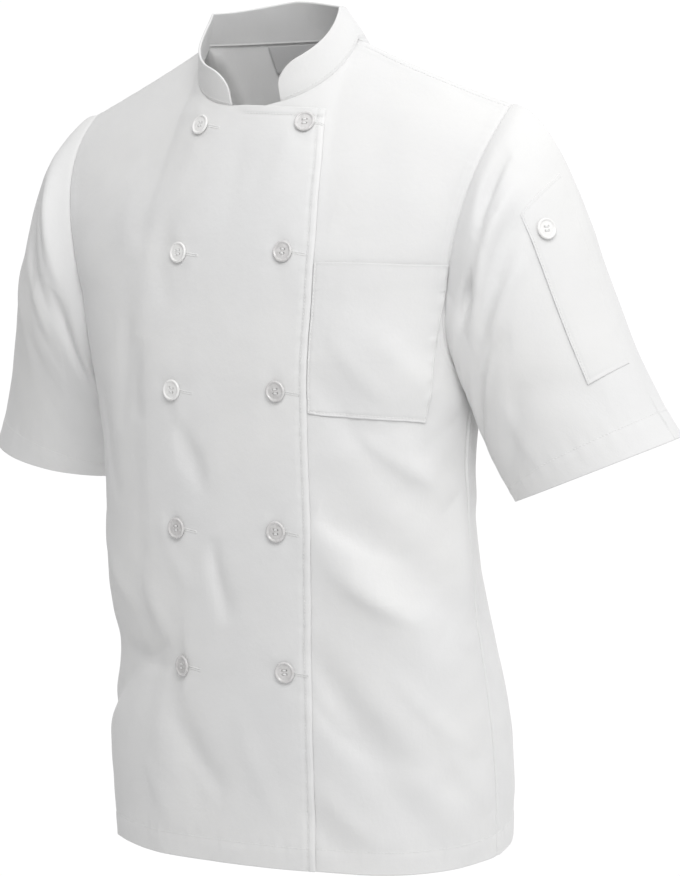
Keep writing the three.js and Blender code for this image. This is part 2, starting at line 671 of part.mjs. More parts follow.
// Where panels meet they share one direction through the cloth, so their ends lie face to face
function shareSeams(panels, collar) {
  const meeting = new Map();
  for (const panel of panels) {
    panel.points.forEach((p, i) => {
      const key = keyOf(p);
      const families = meeting.get(key) || {};
      families[panel.family] = add(families[panel.family] || [0, 0, 0], panel.normals[i]);
      meeting.set(key, families);
    });
  }
  for (const panel of panels) {
    panel.through = panel.points.map((p) => {
      const normals = Object.values(meeting.get(keyOf(p))).map(unit);
      const middle = unit(normals.reduce(add, [0, 0, 0]));
      const turn = normals.reduce((sum, n) => sum + dot(n, middle), 0) / normals.length;
      return mul(middle, 1 / Math.max(turn, LEAST_TURN));
    });
  }
  for (let i = 0; i < collar.ids.length; i += 1) {
    const from = Math.floor(i / COLLAR_SPLIT) * COLLAR_SPLIT;
    const part = (i % COLLAR_SPLIT) / COLLAR_SPLIT;
    if (part) {
      const a = collar.through[collar.ids[from][0]];
      const b = collar.through[collar.ids[from + COLLAR_SPLIT][0]];
      collar.through[collar.ids[i][0]] = mix(a, b, part);
    }
  }
}

// Edges that belong to one cell only, in the cell's own direction
function openEdges(cells) {
  const seen = new Set();
  const edges = [];
  for (const cell of cells) cell.forEach((a, i) => seen.add(`${a} ${cell[(i + 1) % 4]}`));
  for (const cell of cells) {
    cell.forEach((a, i) => {
      const b = cell[(i + 1) % 4];
      if (!seen.has(`${b} ${a}`)) edges.push([a, b]);
    });
  }
  return edges;
}

// Draw a panel's open edges back by half a seam's gap
function trimEdges(panel, trim) {
  const inward = new Map();
  for (const [a, b] of openEdges(panel.cells)) {
    const along = sub(panel.points[b], panel.points[a]);
    for (const id of [a, b]) {
      const into = unit(cross(panel.through[id], along));
      inward.set(id, [...(inward.get(id) || []), into]);
    }
  }
  panel.points = panel.points.map((p, i) => {
    const ways = inward.get(i);
    if (!ways) return p;
    const spread = 1 + dot(ways[0], ways[1] || ways[0]);
    return add(p, mul(add(ways[0], ways[1] || ways[0]), trim / Math.max(spread, 0.5)));
  });
}

// Closed wall from a panel's points, through the cloth to its inside
function wallGeometry(points, cells, through, wall) {
  const inner = points.map((p, i) => sub(p, mul(through[i], wall)));
  const all = [...points, ...inner];
  const count = points.length;
  const faces = [];
  for (const [a, b, c, d] of cells) {
    faces.push([a, b, c], [a, c, d]);
    faces.push([a + count, c + count, b + count], [a + count, d + count, c + count]);
  }
  for (const [a, b] of openEdges(cells)) {
    faces.push([b, a, a + count], [b, a + count, b + count]);
  }
  const geometry = new THREE.BufferGeometry();
  geometry.setAttribute("position", new THREE.Float32BufferAttribute(all.flat(), 3));
  geometry.setIndex(faces.flat());
  geometry.computeVertexNormals();
  return geometry;
}

function meshOf(name, geometry, look) {
  const mesh = new THREE.Mesh(geometry, new THREE.MeshStandardMaterial(COLOURS[look]));
  mesh.name = name;
  return mesh;
}

// A piece that lies on a panel, over a span of its columns and rows; its first row may slope
function patchOn(panel, ids, columns, rows, lie, wall, slope = 0) {
  const marks = (from, to) => {
    const list = [from];
    for (let i = Math.ceil(from + LEAST_STEP); i < to - LEAST_STEP; i += 1) list.push(i);
    return [...list, to];
  };
  const blend = (values, k, j) => {
    const k0 = Math.min(Math.floor(k), ids.length - 2);
    const j0 = Math.min(Math.floor(j), ids[k0].length - 2);
    const low = mix(values[ids[k0][j0]], values[ids[k0 + 1][j0]], k - k0);
    const high = mix(values[ids[k0][j0 + 1]], values[ids[k0 + 1][j0 + 1]], k - k0);
    return mix(low, high, j - j0);
  };
  const patch = newPanel("patch", wall);
  patch.through = [];
  const firstRow = (k) => rows[0] + (slope * (k - columns[0])) / (columns[1] - columns[0]);
  const grid = marks(...columns).map((k) =>
    marks(firstRow(k), rows[1]).map((j) => {
      const out = unit(blend(panel.through, k, j));
      patch.through.push(out);
      return addPoint(patch, add(blend(panel.points, k, j), mul(out, lie + Math.max(wall, 0))));
    }),
  );
  patch.ids = grid;
  return patch;
}

// Row of a column at a given height
function rowAt(panel, ids, k, z) {
  const column = ids[k].map((id) => panel.points[id][2]);
  const j = column.findIndex((value) => value > z) - 1;
  return j + (z - column[j]) / (column[j + 1] - column[j]);
}

function makeChestPocket(leftFront) {
  const middle = NECK_END + 1;
  const rowOf = (z) => rowAt(leftFront, leftFront.own, middle, z);
  const rows = [rowOf(CHEST_POCKET.bottom), rowOf(CHEST_POCKET.top)];
  const slope = rowOf(CHEST_POCKET.outerBottom) - rows[0];
  const columns = [OVERLAP_COLUMNS + CHEST_POCKET.edgeMargin, ARM_COLUMN - CHEST_POCKET.armMargin];
  const patch = patchOn(leftFront, leftFront.own, columns, rows, LIE_GAP, TRIM_CLOTH, slope);
  addCells(patch, patch.ids, false);
  return patch;
}

// Fractional column of a sleeve at a share of the way round
function columnAt(sleeve, round) {
  const i = sleeve.shares.findIndex((share) => share > round) - 1;
  return i + (round - sleeve.shares[i]) / (sleeve.shares[i + 1] - sleeve.shares[i]);
}

function makeSleevePocket(sleeve) {
  const columns = [columnAt(sleeve, SLEEVE_POCKET.back), columnAt(sleeve, SLEEVE_POCKET.front)];
  const rows = [SLEEVE_POCKET.top * SLEEVE_ROWS, SLEEVE_POCKET.bottom * SLEEVE_ROWS];
  const patch = patchOn(sleeve, sleeve.ids, columns, rows, LIE_GAP, TRIM_CLOTH);
  addCells(patch, patch.ids, false);
  return patch;
}

// Bare label inside the back neck
function makeLabel(back) {
  const reach = back.left.findIndex((column) => back.points[column[TOP_ROW]][0] > LABEL.halfWidth);
  const before = back.points[back.left[reach - 1][TOP_ROW]][0];
  const after = back.points[back.left[reach][TOP_ROW]][0];
  const half = reach - 1 + (LABEL.halfWidth - before) / (after - before);
  const ids = [...back.right.slice(1, reach + 1).reverse(), ...back.left.slice(0, reach + 1)];
  const rowLength = size(
    sub(back.points[back.left[0][TOP_ROW]], back.points[back.left[0][TOP_ROW - 1]]),
  );
  const rows = [
    TOP_ROW - (LABEL.below + LABEL.height) / rowLength,
    TOP_ROW - LABEL.below / rowLength,
  ];
  const inside = -(CLOTH + LIE_GAP + TRIM_CLOTH);
  const patch = patchOn(back, ids, [reach - half, reach + half], rows, inside, TRIM_CLOTH);
  addCells(patch, patch.ids, true);
  return patch;
}

// Point and outward direction of a panel where it is met at x and z
function onPanel(panel, x, z, facing) {
  for (const cell of panel.cells) {
    for (const [a, b, c] of [[cell[0], cell[1], cell[2]], [cell[0], cell[2], cell[3]]]) {
      const [p, q, r] = [panel.points[a], panel.points[b], panel.points[c]];
      const area = (q[0] - p[0]) * (r[2] - p[2]) - (r[0] - p[0]) * (q[2] - p[2]);
      const s = ((x - p[0]) * (r[2] - p[2]) - (r[0] - p[0]) * (z - p[2])) / area;
      const t = ((q[0] - p[0]) * (z - p[2]) - (x - p[0]) * (q[2] - p[2])) / area;
      const out = unit(cross(sub(q, p), sub(r, p)));
      if (s >= 0 && t >= 0 && s + t <= 1 && dot(out, facing) > 0) {
        return { point: add(p, add(mul(sub(q, p), s), mul(sub(r, p), t))), out };
      }
    }
  }
  return null;
}

// Round sew-through button with a raised rim and a dished middle
function buttonGeometry(point, out) {
  const { radius, thick, rim, dish, steps } = BUTTON;
  const profile = [
    [0, 0],
    [radius * 0.8, 0],
    [radius, thick * 0.45],
    [radius - rim * 0.35, thick],
    [radius - rim, thick * 0.95],
    [radius - rim - dish, thick - dish],
    [0, thick - dish],
  ].map(([r, h]) => new THREE.Vector2(r, h));
  const geometry = new THREE.LatheGeometry(profile, steps);
  const turn = new THREE.Quaternion().setFromUnitVectors(
    new THREE.Vector3(0, 1, 0),
    new THREE.Vector3(...out),
  );
  geometry.applyQuaternion(turn);
  geometry.translate(...add(point, mul(out, BUTTON_GAP)));
  return geometry;
}

function addFrontButtons(group, rightFront) {
  for (const column of ["right", "left"]) {
    BUTTON_ROWS.forEach((place, row) => {
      const seat = onPanel(rightFront, place[column], place.z, [0, -1, 0]);
      const geometry = buttonGeometry(seat.point, seat.out);
      group.add(meshOf(`button_${column}_${row + 1}`, geometry, "button"));
    });
  }
}

function addSleeveButton(group, sleeve) {
  const k = columnAt(sleeve, SLEEVE_BUTTON.round);
  const seat = patchOn(
    sleeve,
    sleeve.ids,
    [k, k + 0.5],
    [SLEEVE_BUTTON.down * SLEEVE_ROWS, SLEEVE_BUTTON.down * SLEEVE_ROWS + 0.5],
    LIE_GAP,
    TRIM_CLOTH,
  );
  group.add(meshOf("button_sleeve", buttonGeometry(seat.points[0], seat.through[0]), "button"));
}

function chefJacket() {
  const rightFront = makeRightFront();
  const leftFront = makeLeftFront();
  const back = makeBack();
  const leftLoop = armholeLoop(leftFront, leftFront.own, back, back.left);
  const rightLoop = armholeLoop(rightFront, rightFront.own, back, back.right);
  const leftSleeve = makeSleeve("sleeve_left", 1, leftLoop, LEFT_SLEEVE_FOLDS);
  const rightSleeve = makeSleeve("sleeve_right", -1, rightLoop, RIGHT_SLEEVE_FOLDS);
  const collar = makeCollar(rightFront, leftFront, back);
  const panels = [rightFront, leftFront, back, leftSleeve, rightSleeve, collar];
  shareSeams(panels, collar);
  for (const panel of panels) {
    const gap = panel === collar ? COLLAR_GAP : SEAM_GAP;
    trimEdges(panel, gap / 2);
  }

  const group = new THREE.Group();
  for (const panel of panels) {
    const geometry = wallGeometry(panel.points, panel.cells, panel.through, panel.wall);
    group.add(meshOf(panel.name, geometry, "cloth"));
  }
  const patches = [
    { name: "chest_pocket", patch: makeChestPocket(leftFront), look: "cloth" },
    { name: "sleeve_pocket", patch: makeSleevePocket(leftSleeve), look: "cloth" },
    { name: "neck_label", patch: makeLabel(back), look: "label" },
  ];
  for (const { name, patch, look } of patches) {
    const geometry = wallGeometry(patch.points, patch.cells, patch.through, patch.wall);
    group.add(meshOf(name, geometry, look));
  }
  addFrontButtons(group, rightFront);
  addSleeveButton(group, leftSleeve);
  return group;
}

export default chefJacket();
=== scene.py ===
"""Short-sleeved, double-breasted chef jacket of white twill, filled out as if worn.

Lengths in the tables are millimetres in the part's own frame: +Z up, the front faces -Y, the
wearer's left is +X. The cloth pieces follow the forms of their solids, with finer folds, seams,
hems, stitching and buttonholes.
"""
import json
import math

import bpy
import numpy as np
from mathutils import Matrix, Vector, kdtree, noise
from mathutils.bvhtree import BVHTree

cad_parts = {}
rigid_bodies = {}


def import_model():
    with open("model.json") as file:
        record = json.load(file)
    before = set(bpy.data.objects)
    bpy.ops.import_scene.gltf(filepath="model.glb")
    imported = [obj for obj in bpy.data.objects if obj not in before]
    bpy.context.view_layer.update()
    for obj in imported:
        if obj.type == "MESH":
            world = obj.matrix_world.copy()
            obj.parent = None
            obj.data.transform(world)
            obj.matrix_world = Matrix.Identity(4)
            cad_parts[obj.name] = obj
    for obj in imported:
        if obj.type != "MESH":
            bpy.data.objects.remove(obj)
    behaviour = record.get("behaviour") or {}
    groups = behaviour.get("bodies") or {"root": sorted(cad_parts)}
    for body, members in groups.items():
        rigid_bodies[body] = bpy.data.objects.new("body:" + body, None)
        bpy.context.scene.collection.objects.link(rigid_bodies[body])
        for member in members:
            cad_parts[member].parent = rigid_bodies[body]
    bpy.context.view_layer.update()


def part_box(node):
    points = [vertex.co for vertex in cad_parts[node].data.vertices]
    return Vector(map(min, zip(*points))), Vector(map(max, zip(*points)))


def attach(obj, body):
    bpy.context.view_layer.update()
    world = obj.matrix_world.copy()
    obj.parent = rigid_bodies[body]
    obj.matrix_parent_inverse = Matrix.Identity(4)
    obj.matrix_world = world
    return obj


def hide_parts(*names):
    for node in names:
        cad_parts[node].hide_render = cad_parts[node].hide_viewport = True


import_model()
scene = bpy.context.scene
scene.view_settings.view_transform = "Standard"

MM = 0.001

# Camera: azimuth from the front towards the wearer's left
VIEW_AZIMUTH = math.radians(33)
VIEW_ELEVATION = math.radians(2)
VIEW_DISTANCE = 3.3
VIEW_TARGET = Vector((0.0270, 0.0575, -0.361))
LENS = 147.4

# Cloth of the visible shells
CLOTH = 0.9
COLLAR_CLOTH = 2.2
TRIM_CLOTH = 0.7
LIE_GAP = 0.8
OVERLAP_LIFT = 2.4
# Height below which the overlap's lift starts, and over what height
LIFT_FALL = (-50, 16)
GRAIN = 3.2

# Heights and landmarks, as in the solids
HEM_Z = -737
NOTCH_Z = -225
UNDERARM_Z = -305
NOTCH = {"front": 0.73, "back": 0.72}
NECK_SHARE = 0.36
NECK_POINT = np.array([83.0, 2, 0])
NECK_MIDDLE = {"front": np.array([0.0, -54, -61]), "back": np.array([0.0, 64, 5])}
NECK_BEND = {"front": 0.85, "back": 1.0}
NECK_SQUARE = {"front": 0.88, "back": 1.0}
SHOULDER_TIP = {1: np.array([227.0, 27, -62]), -1: np.array([227.0, 27, -58])}
SHOULDER_FROM_NECK, SHOULDER_FROM_TIP = np.array([50, 6, -24]), np.array([-50, -10, 18])

# Rings of the body: height, half width, depth of the front, the side seam and the back
BODY_RINGS = [
    (-737, 195, -76, 58, 189),
    (-660, 198, -78, 50, 185),
    (-580, 197, -81, 38, 170),
    (-500, 190, -85, 26, 144),
    (-430, 186, -89, 18, 125),
    (-350, 190, -93, 14, 119),
    (-290, 201, -94, 13, 121),
    (-225, 214, -90, 13, 123),
]
HALF_WIDTH, SIDE_DEPTH = 1, 3
CENTRE_DEPTH = {"front": 2, "back": 4}
FULLNESS = {"front": (0.66, 0.68), "back": (0.6, 0.55)}

# Share across, direction of arrival x y z, lengths of arrival and of leaving
YOKE = {
    "front": [
        (0, 0, 0.25, 0.97, 45, 60),
        (0.36, -0.02, 0.55, 0.83, 62, 75),
        (0.7, 0, 0.78, 0.62, 58, 70),
        (1, -0.02, 0.8, 0.6, 66, 72),
    ],
    "back": [
        (0, 0, -0.4, 0.92, 50, 75),
        (0.36, 0, -0.75, 0.66, 95, 80),
        (0.7, 0, -0.85, 0.5, 78, 75),
        (1, 0, -0.8, 0.55, 62, 66),
    ],
}
SKEW = {"front": -0.2, "back": 0.08}

# Sleeve: share round from the shoulder tip over the front, direction of leaving, lengths
SLEEVE_START = [
    (0, 0.97, -0.1, -0.12, 74, 125),
    (0.12, 0.88, -0.5, -0.12, 75, 118),
    (0.25, 0.8, -0.54, -0.3, 74, 100),
    (0.38, 0.6, -0.25, -0.8, 45, 60),
    (0.5, 0.35, 0.05, -0.94, 30, 40),
    (0.75, 0.75, 0.45, -0.5, 50, 85),
    (0.88, 0.92, 0.25, -0.3, 62, 115),
    (1, 0.97, -0.1, -0.12, 74, 125),
]
CUFF = {
    1: {"centre": np.array([287.0, 78, -384]), "outward": 80, "forward": 71, "tilt": math.radians(20)},
    -1: {"centre": np.array([294.0, 78, -380]), "outward": 79, "forward": 70, "tilt": math.radians(13.5)},
}
CUFF_BACK_LIFT = math.radians(9)
CUFF_APPROACH, CUFF_AXIS_SHARE = np.array([0.35, 0.05, -0.2]), 0.8

# Stand collar
COLLAR_END_X = {1: 34, -1: 17}
COLLAR_ROUND, COLLAR_END_SHARE_UP = 24, 0.4
# Share from an end to the back's middle, lean inwards and backwards, height
COLLAR_RISE = [
    (0, 0, -0.3, 30),
    (0.12, -0.08, -0.32, 31),
    (0.3, -0.25, -0.36, 31),
    (0.5, -0.5, -0.42, 33),
    (0.65, -0.5, -0.5, 35),
    (0.8, -0.34, -0.6, 38),
    (1, 0, -0.62, 41),
]

# Steps from a rounded end along the collar, and up its height
COLLAR_END_STEPS = (0.5, 1.2, 2.2, 3.6, 5.5, 8, 11, 14.5, 18)
COLLAR_STEPS = (
    0, 0.7, 1.5, 2.4, 3.6, 5.2, 7.4, 10, 13, 16, 19, 22, 25, 28, 31, 33.5, 35.3, 36.5, 37.3, 38,
)

# Free edge of the overlap: height and x, and the tops of both fronts
OVERLAP_EDGE = [
    (-737, 83), (-560, 83), (-430, 86), (-320, 86), (-200, 90), (-120, 84), (-66, 76), (-20, 76),
]
OVERLAP_TOP, UNDERLAP_TOP = (-61, 5), (-64, 6)

# Main folds of the body, as in the solids: degrees from the front centre towards the wearer's
# left and height, at both ends, half width, height of the ridge
BODY_FOLDS = [
    (52, -255, 76, -345, 17, 4),
    (44, -300, 70, -405, 15, -4),
    (60, -362, 80, -412, 14, 4),
    (48, -400, 84, -520, 20, -6),
    (42, -440, 74, -560, 20, 6),
    (38, -545, 66, -705, 18, -6),
    (52, -590, 78, -720, 22, 5),
    (88, -400, 84, -535, 15, 7),
    (99, -430, 97, -600, 17, -8),
    (122, -500, 116, -735, 24, 9),
    (146, -420, 150, -735, 24, -9),
    (172, -470, 176, -735, 26, 8),
    (-158, -430, -154, -735, 24, -8),
    (-130, -500, -124, -735, 24, 8),
    (170, -375, 126, -460, 22, -5),
    (-168, -395, -124, -485, 22, -5),
    (126, -150, 134, -330, 16, -5),
    (-126, -150, -134, -330, 16, -5),
    (-98, -430, -96, -600, 18, -7),
    (-84, -640, -52, -556, 13, -5),
    (-50, -255, -54, -345, 10, -4),
    (-34, -585, -14, -690, 16, -3),
    (-22, -345, -10, -405, 13, -2.5),
    (-94, -562, -30, -562, 44, -16),
]
MM_PER_DEGREE = 3

# Folds and creases of the body start below these heights, over these lengths
BODY_CALM, CREASE_CALM = (-95, 60), (-85, 60)
# How far past the middle of a fold it fades out, as a share of its length, and how bluntly
FOLD_FADE, FOLD_BLUNT = 0.62, 0.6

# How much the hem's edge rises, by degrees round; it fades out over the height above it
HEM_RISE = [
    (-180, 0), (-80, 2), (-57, 5), (-40, 1), (0, -1.5), (33, -3.5), (60, -4.5), (85, 2), (105, 12),
    (123, 17), (150, 8), (180, 0),
]
HEM_RISE_OVER = 140

# Main folds of the sleeves: share round and share down, at both ends, half width, height
LEFT_SLEEVE_FOLDS = [
    (0.09, 0.12, 0.21, 0.16, 12, -6),
    (0.1, 0.27, 0.2, 0.26, 11, 5),
    (0.13, 0.34, 0.3, 0.4, 14, -7),
    (0.27, 0.24, 0.33, 0.18, 12, -8),
    (0.33, 0.5, 0.42, 0.62, 13, -6),
    (0.24, 0.7, 0.36, 0.9, 16, -4),
    (0.68, 0.18, 0.6, 0.5, 16, -7),
    (0.8, 0.2, 0.72, 0.6, 16, 5),
]
RIGHT_SLEEVE_FOLDS = [
    (0.08, 0.1, 0.28, 0.12, 12, 6),
    (0.1, 0.24, 0.3, 0.3, 14, -6),
    (0.3, 0.2, 0.4, 0.35, 14, -8),
    (0.68, 0.18, 0.6, 0.5, 16, -7),
    (0.8, 0.2, 0.72, 0.6, 16, 5),
    (0, 0.36, 0.22, 0.36, 36, -7),
]
SLEEVE_ROUND_MM, SLEEVE_DOWN_MM = 460, 260
SLEEVE_CALM = 0.12
SLEEVE_ROWS = 9

# Finer creases of the body: degrees and height at both ends, bow, half widths at both ends,
# height, and how much steeper one flank is
BODY_CREASES = [
    (48, -262, 66, -330, 5, 7, 9, 1.6, 0.4),
    (56, -345, 78, -398, 6, 6, 8, 1.8, 0.5),
    (40, -418, 70, -462, 8, 7, 9, -1.4, 0.3),
    (46, -470, 72, -520, 7, 8, 10, 1.8, 0.5),
    (34, -575, 60, -648, 10, 8, 11, -1.8, 0.4),
    (60, -560, 84, -640, 8, 8, 10, 1.6, 0.4),
    (36, -660, 56, -722, 6, 9, 10, 1.4, 0.3),
    (-20, -120, -46, -230, 10, 14, 18, -0.9, 0),
    (-30, -300, -12, -372, 6, 8, 10, 1.0, 0.3),
    (-8, -447, 2, -518, 5, 9, 11, -1.3, 0.3),
    (-36, -420, -18, -500, 7, 9, 12, 1.0, 0.3),
    (-58, -560, -34, -546, 3, 6, 7, -1.8, 0.5),
    (-32, -600, -2, -676, 8, 9, 12, -1.4, 0.3),
    (-44, -640, -20, -722, 8, 10, 13, 1.2, 0.3),
    (2, -590, 22, -700, 6, 10, 13, 1.0, 0.2),
    (60, -258, 84, -338, 6, 12, 15, 3.2, 0.3),
    (66, -350, 84, -410, 6, 12, 15, 3.0, 0.4),
    (50, -468, 76, -528, 8, 13, 16, 3.0, 0.4),
    (44, -418, 62, -446, 5, 11, 13, -2.6, 0.3),
    (40, -556, 78, -676, 12, 13, 17, -3.0, 0.3),
    (70, -600, 88, -690, 8, 12, 15, 2.4, 0.3),
    (30, -680, 48, -730, 6, 12, 15, -2.2, 0.2),
    (-24, -344, -12, -402, 6, 12, 14, -2.2, 0.3),
    (-6, -446, 1, -524, 6, 12, 14, -2.4, 0.3),
    (-26, -592, -2, -684, 8, 13, 16, -2.6, 0.3),
    (-44, -268, -46, -344, 5, 12, 14, -2.4, 0.2),
    (-64, -556, -30, -566, 4, 8, 10, -2.6, 0.4),
    (-46, -470, -30, -548, 8, 12, 14, 2.0, 0.3),
    (-38, -150, -28, -250, 8, 14, 17, -1.6, 0.2),
    (10, -140, 30, -60, 8, 14, 17, -1.4, 0.2),
    (-60, -120, -50, -200, 6, 12, 14, 1.8, 0.3),
    (-66, -300, -58, -420, 6, 9, 10, -2.2, 0.4),
    (-72, -430, -50, -520, 8, 9, 11, 2.0, 0.4),
    (104, -250, 92, -330, 6, 8, 10, -2.0, 0.4),
    (150, -250, 128, -330, 8, 10, 12, -1.8, 0.3),
    (-150, -240, -126, -325, 8, 10, 12, -1.8, 0.3),
    (164, -300, 150, -380, 8, 9, 12, 1.6, 0.3),
    (-170, -320, -148, -400, 8, 9, 12, 1.6, 0.3),
    (-142, -560, -150, -700, 6, 10, 13, 2.2, 0.3),
    (136, -600, 130, -720, 6, 10, 13, 2.0, 0.3),
]
LEFT_SLEEVE_CREASES = [
    (0.07, 0.17, 0.2, 0.2, 4, 5, 7, 1.6, 0.5),
    (0.14, 0.45, 0.27, 0.47, 4, 6, 8, 1.6, 0.5),
    (0.27, 0.52, 0.34, 0.58, 3, 6, 8, 1.8, 0.4),
    (0.29, 0.68, 0.26, 0.93, 4, 7, 9, 1.6, 0.3),
    (0.083, 0.15, 0.203, 0.163, 5, 9, 12, -2.6, 0.4),
    (0.125, 0.325, 0.297, 0.388, 8, 10, 14, -3.0, 0.4),
    (0.276, 0.25, 0.318, 0.175, 4, 11, 9, -3.4, 0.3),
    (0.16, 0.24, 0.27, 0.3, 6, 10, 12, 2.4, 0.4),
    (0.22, 0.56, 0.34, 0.5, 5, 10, 12, -2.2, 0.3),
    (0.1, 0.86, 0.28, 0.7, 6, 11, 14, -2.0, 0.2),
    (0.9, 0.15, 0.8, 0.3, 4, 8, 10, -1.8, 0.3),
    (0.7, 0.55, 0.62, 0.8, 4, 9, 12, 1.8, 0.3),
]
RIGHT_SLEEVE_CREASES = [
    (0.12, 0.16, 0.26, 0.2, 4, 6, 8, -1.6, 0.4),
    (0.08, 0.22, 0.26, 0.44, 8, 12, 15, -3.0, 0.3),
    (0.1, 0.48, 0.24, 0.66, 8, 12, 15, 2.4, 0.3),
    (0.14, 0.36, 0.3, 0.42, 4, 8, 10, 1.6, 0.4),
    (0.18, 0.55, 0.32, 0.7, 4, 10, 12, -1.4, 0.3),
    (0.9, 0.15, 0.8, 0.3, 4, 8, 10, -1.8, 0.3),
    (0.7, 0.55, 0.62, 0.8, 4, 9, 12, 1.8, 0.3),
]

# How bluntly creases end, and how far they run out past their ends
CREASE_BLUNT, CREASE_TAIL = 0.7, 8

# Cells of the solids' panels, which number the columns and rows here too
OVERLAP_COLUMNS, NECK_COLUMNS, SHOULDER_COLUMNS, SIDE_COLUMNS = 5, 2, 5, 5
BODY_ROWS, YOKE_ROWS = 24, 10
NECK_END = OVERLAP_COLUMNS + NECK_COLUMNS
ARM_COLUMN = NECK_END + SHOULDER_COLUMNS
SIDE_COLUMN = ARM_COLUMN + SIDE_COLUMNS
TOP_ROW = BODY_ROWS + YOKE_ROWS

# Seams and hems
DITCH_DEPTH, DITCH_WIDTH = 0.7, 1.7
BAND_HEIGHT = 0.45
SEAM_STITCH = 5.5
EDGE_STITCH = 6.5
TOP_STITCH = 7
HEM_STITCH = 20
CUFF_STITCH = 19
STITCH_PITCH, STITCH_LENGTH, STITCH_RADIUS, STITCH_LIFT = 3.1, 2.5, 0.27, 0.1

# Buttonholes: how far they start and end from the button's middle, how much they drop, and
# their satin bars
HOLE_START, HOLE_END, HOLE_DROP = 3, 22, 3
HOLE_POINTS = 24
FRONT_DEPTH = -90
SATIN_PITCH, SATIN_REACH, SATIN_LIFT, SLIT_HALF = 0.62, 1.45, 0.12, 0.3

# Buttons: rows with the place of the wearer's right and left one
BUTTON_ROWS = [(-77, -47, 62), (-192, -51, 61), (-315, -53, 58), (-439, -52, 55), (-564, -53, 59)]
BUTTON_THICK, BUTTON_DISH = 3.2, 1.0
HOLE_RADIUS, HOLE_OFFSET, HOLE_DEPTH = 0.95, 1.8, 1.7
# Buttons given the greyer copy of the button material: painted shade for the buttons that sit in shadow, not
# a different colour of button
SHADED_BUTTON_NAMES = [f"button_left_{i}" for i in range(1, 6)] + ["button_right_4", "button_right_5"]

# Patch pockets and label, as shares of their panels' columns and rows
CHEST_POCKET = {
    "top": -203, "bottom": (-334, -342), "edge_margin": 0.12, "arm_margin": 0.08, "size": (108.0, 133.0),
}
SLEEVE_POCKET = {"front": 0.12, "back": 0.02, "top": 0.33, "bottom": 0.8, "size": (46.0, 122.0)}
CLOSE_TO_EDGE = (0.16, 0.36, 0.7, 1.2)
LABEL = {"half_width": 56, "height": 23, "below": 2}


def read(rows, column, at):
    """Smooth curve through one column of a table, keyed by its first."""
    table = np.array(rows, float)
    key, value = table[:, 0], table[:, column]
    slope = slopes(key, value)
    x = np.clip(at, key[0], key[-1])
    i = np.clip(np.searchsorted(key, x, side="right") - 1, 0, len(key) - 2)
    step = key[i + 1] - key[i]
    t = (x - key[i]) / step
    ends = (2 * t**3 - 3 * t**2 + 1) * value[i] + (3 * t**2 - 2 * t**3) * value[i + 1]
    bends = (t**3 - 2 * t**2 + t) * slope[i] + (t**3 - t**2) * slope[i + 1]
    return ends + bends * step


def slopes(key, value):
    before = np.maximum(np.arange(len(key)) - 1, 0)
    after = np.minimum(np.arange(len(key)) + 1, len(key) - 1)
    return (value[after] - value[before]) / (key[after] - key[before])


def unit(v):
    return v / np.maximum(np.linalg.norm(v, axis=-1, keepdims=True), 1e-9)


def bell(x, wide):
    return np.exp(-((x / wide) ** 2))


def along_line(line):
    return np.concatenate([[0], np.cumsum(np.linalg.norm(np.diff(line, axis=0), axis=1))])


def at_length(line, along, length):
    return np.stack([np.interp(length, along, line[:, c]) for c in range(3)], -1)


def curve(p0, p1, p2, p3, t):
    t = np.asarray(t)[..., None]
    s = 1 - t
    return s**3 * p0 + 3 * s * s * t * p1 + 3 * s * t * t * p2 + t**3 * p3


def bisect(low, high, is_below, shape):
    a, b = np.full(shape, float(low)), np.full(shape, float(high))
    for _ in range(34):
        middle = (a + b) / 2
        below = is_below(middle)
        a, b = np.where(below, middle, a), np.where(below, b, middle)
    return (a + b) / 2


def smooth(x, low=0.0, high=1.0):
    t = np.clip((x - low) / (high - low), 0, 1)
    return t * t * (3 - 2 * t)


def ring_point(half, u, z):
    u, z = np.broadcast_arrays(np.asarray(u, float), np.asarray(z, float))
    width = read(BODY_RINGS, HALF_WIDTH, z)
    side = read(BODY_RINGS, SIDE_DEPTH, z)
    centre = read(BODY_RINGS, CENTRE_DEPTH[half], z)
    across, deep = FULLNESS[half]
    s = 1 - u
    x = width * (3 * s * s * u * across + 3 * s * u * u + u**3)
    y = centre + (side - centre) * (3 * s * u * u * (1 - deep) + u**3)
    return np.stack([x, y, z], -1)


def body_point(half, u, v):
    notch = NOTCH[half]
    q = np.clip((u - notch) / (1 - notch), 0, 1)
    dip = (NOTCH_Z - UNDERARM_Z) * np.sqrt(np.maximum(0, 1 - (1 - q) ** 2))
    return ring_point(half, u, HEM_Z + (NOTCH_Z - HEM_Z) * v - dip * v**6)


def neck_point(half, share):
    angle = share * math.pi / 2
    middle = NECK_MIDDLE[half]
    cosine = np.maximum(0, np.cos(angle))
    x = NECK_POINT[0] * np.sin(angle) ** NECK_SQUARE[half]
    y = NECK_POINT[1] + (middle[1] - NECK_POINT[1]) * np.cos(angle)
    return np.stack([x, y, middle[2] * cosine ** NECK_BEND[half]], -1)


def shoulder_point(side, share):
    tip = SHOULDER_TIP[side]
    return curve(NECK_POINT, NECK_POINT + SHOULDER_FROM_NECK, tip + SHOULDER_FROM_TIP, tip, share)


def top_point(half, side, t):
    on_neck = neck_point(half, np.clip(t / NECK_SHARE, 0, 1))
    on_shoulder = shoulder_point(side, np.clip((t - NECK_SHARE) / (1 - NECK_SHARE), 0, 1))
    return np.where((t <= NECK_SHARE)[..., None], on_neck, on_shoulder)


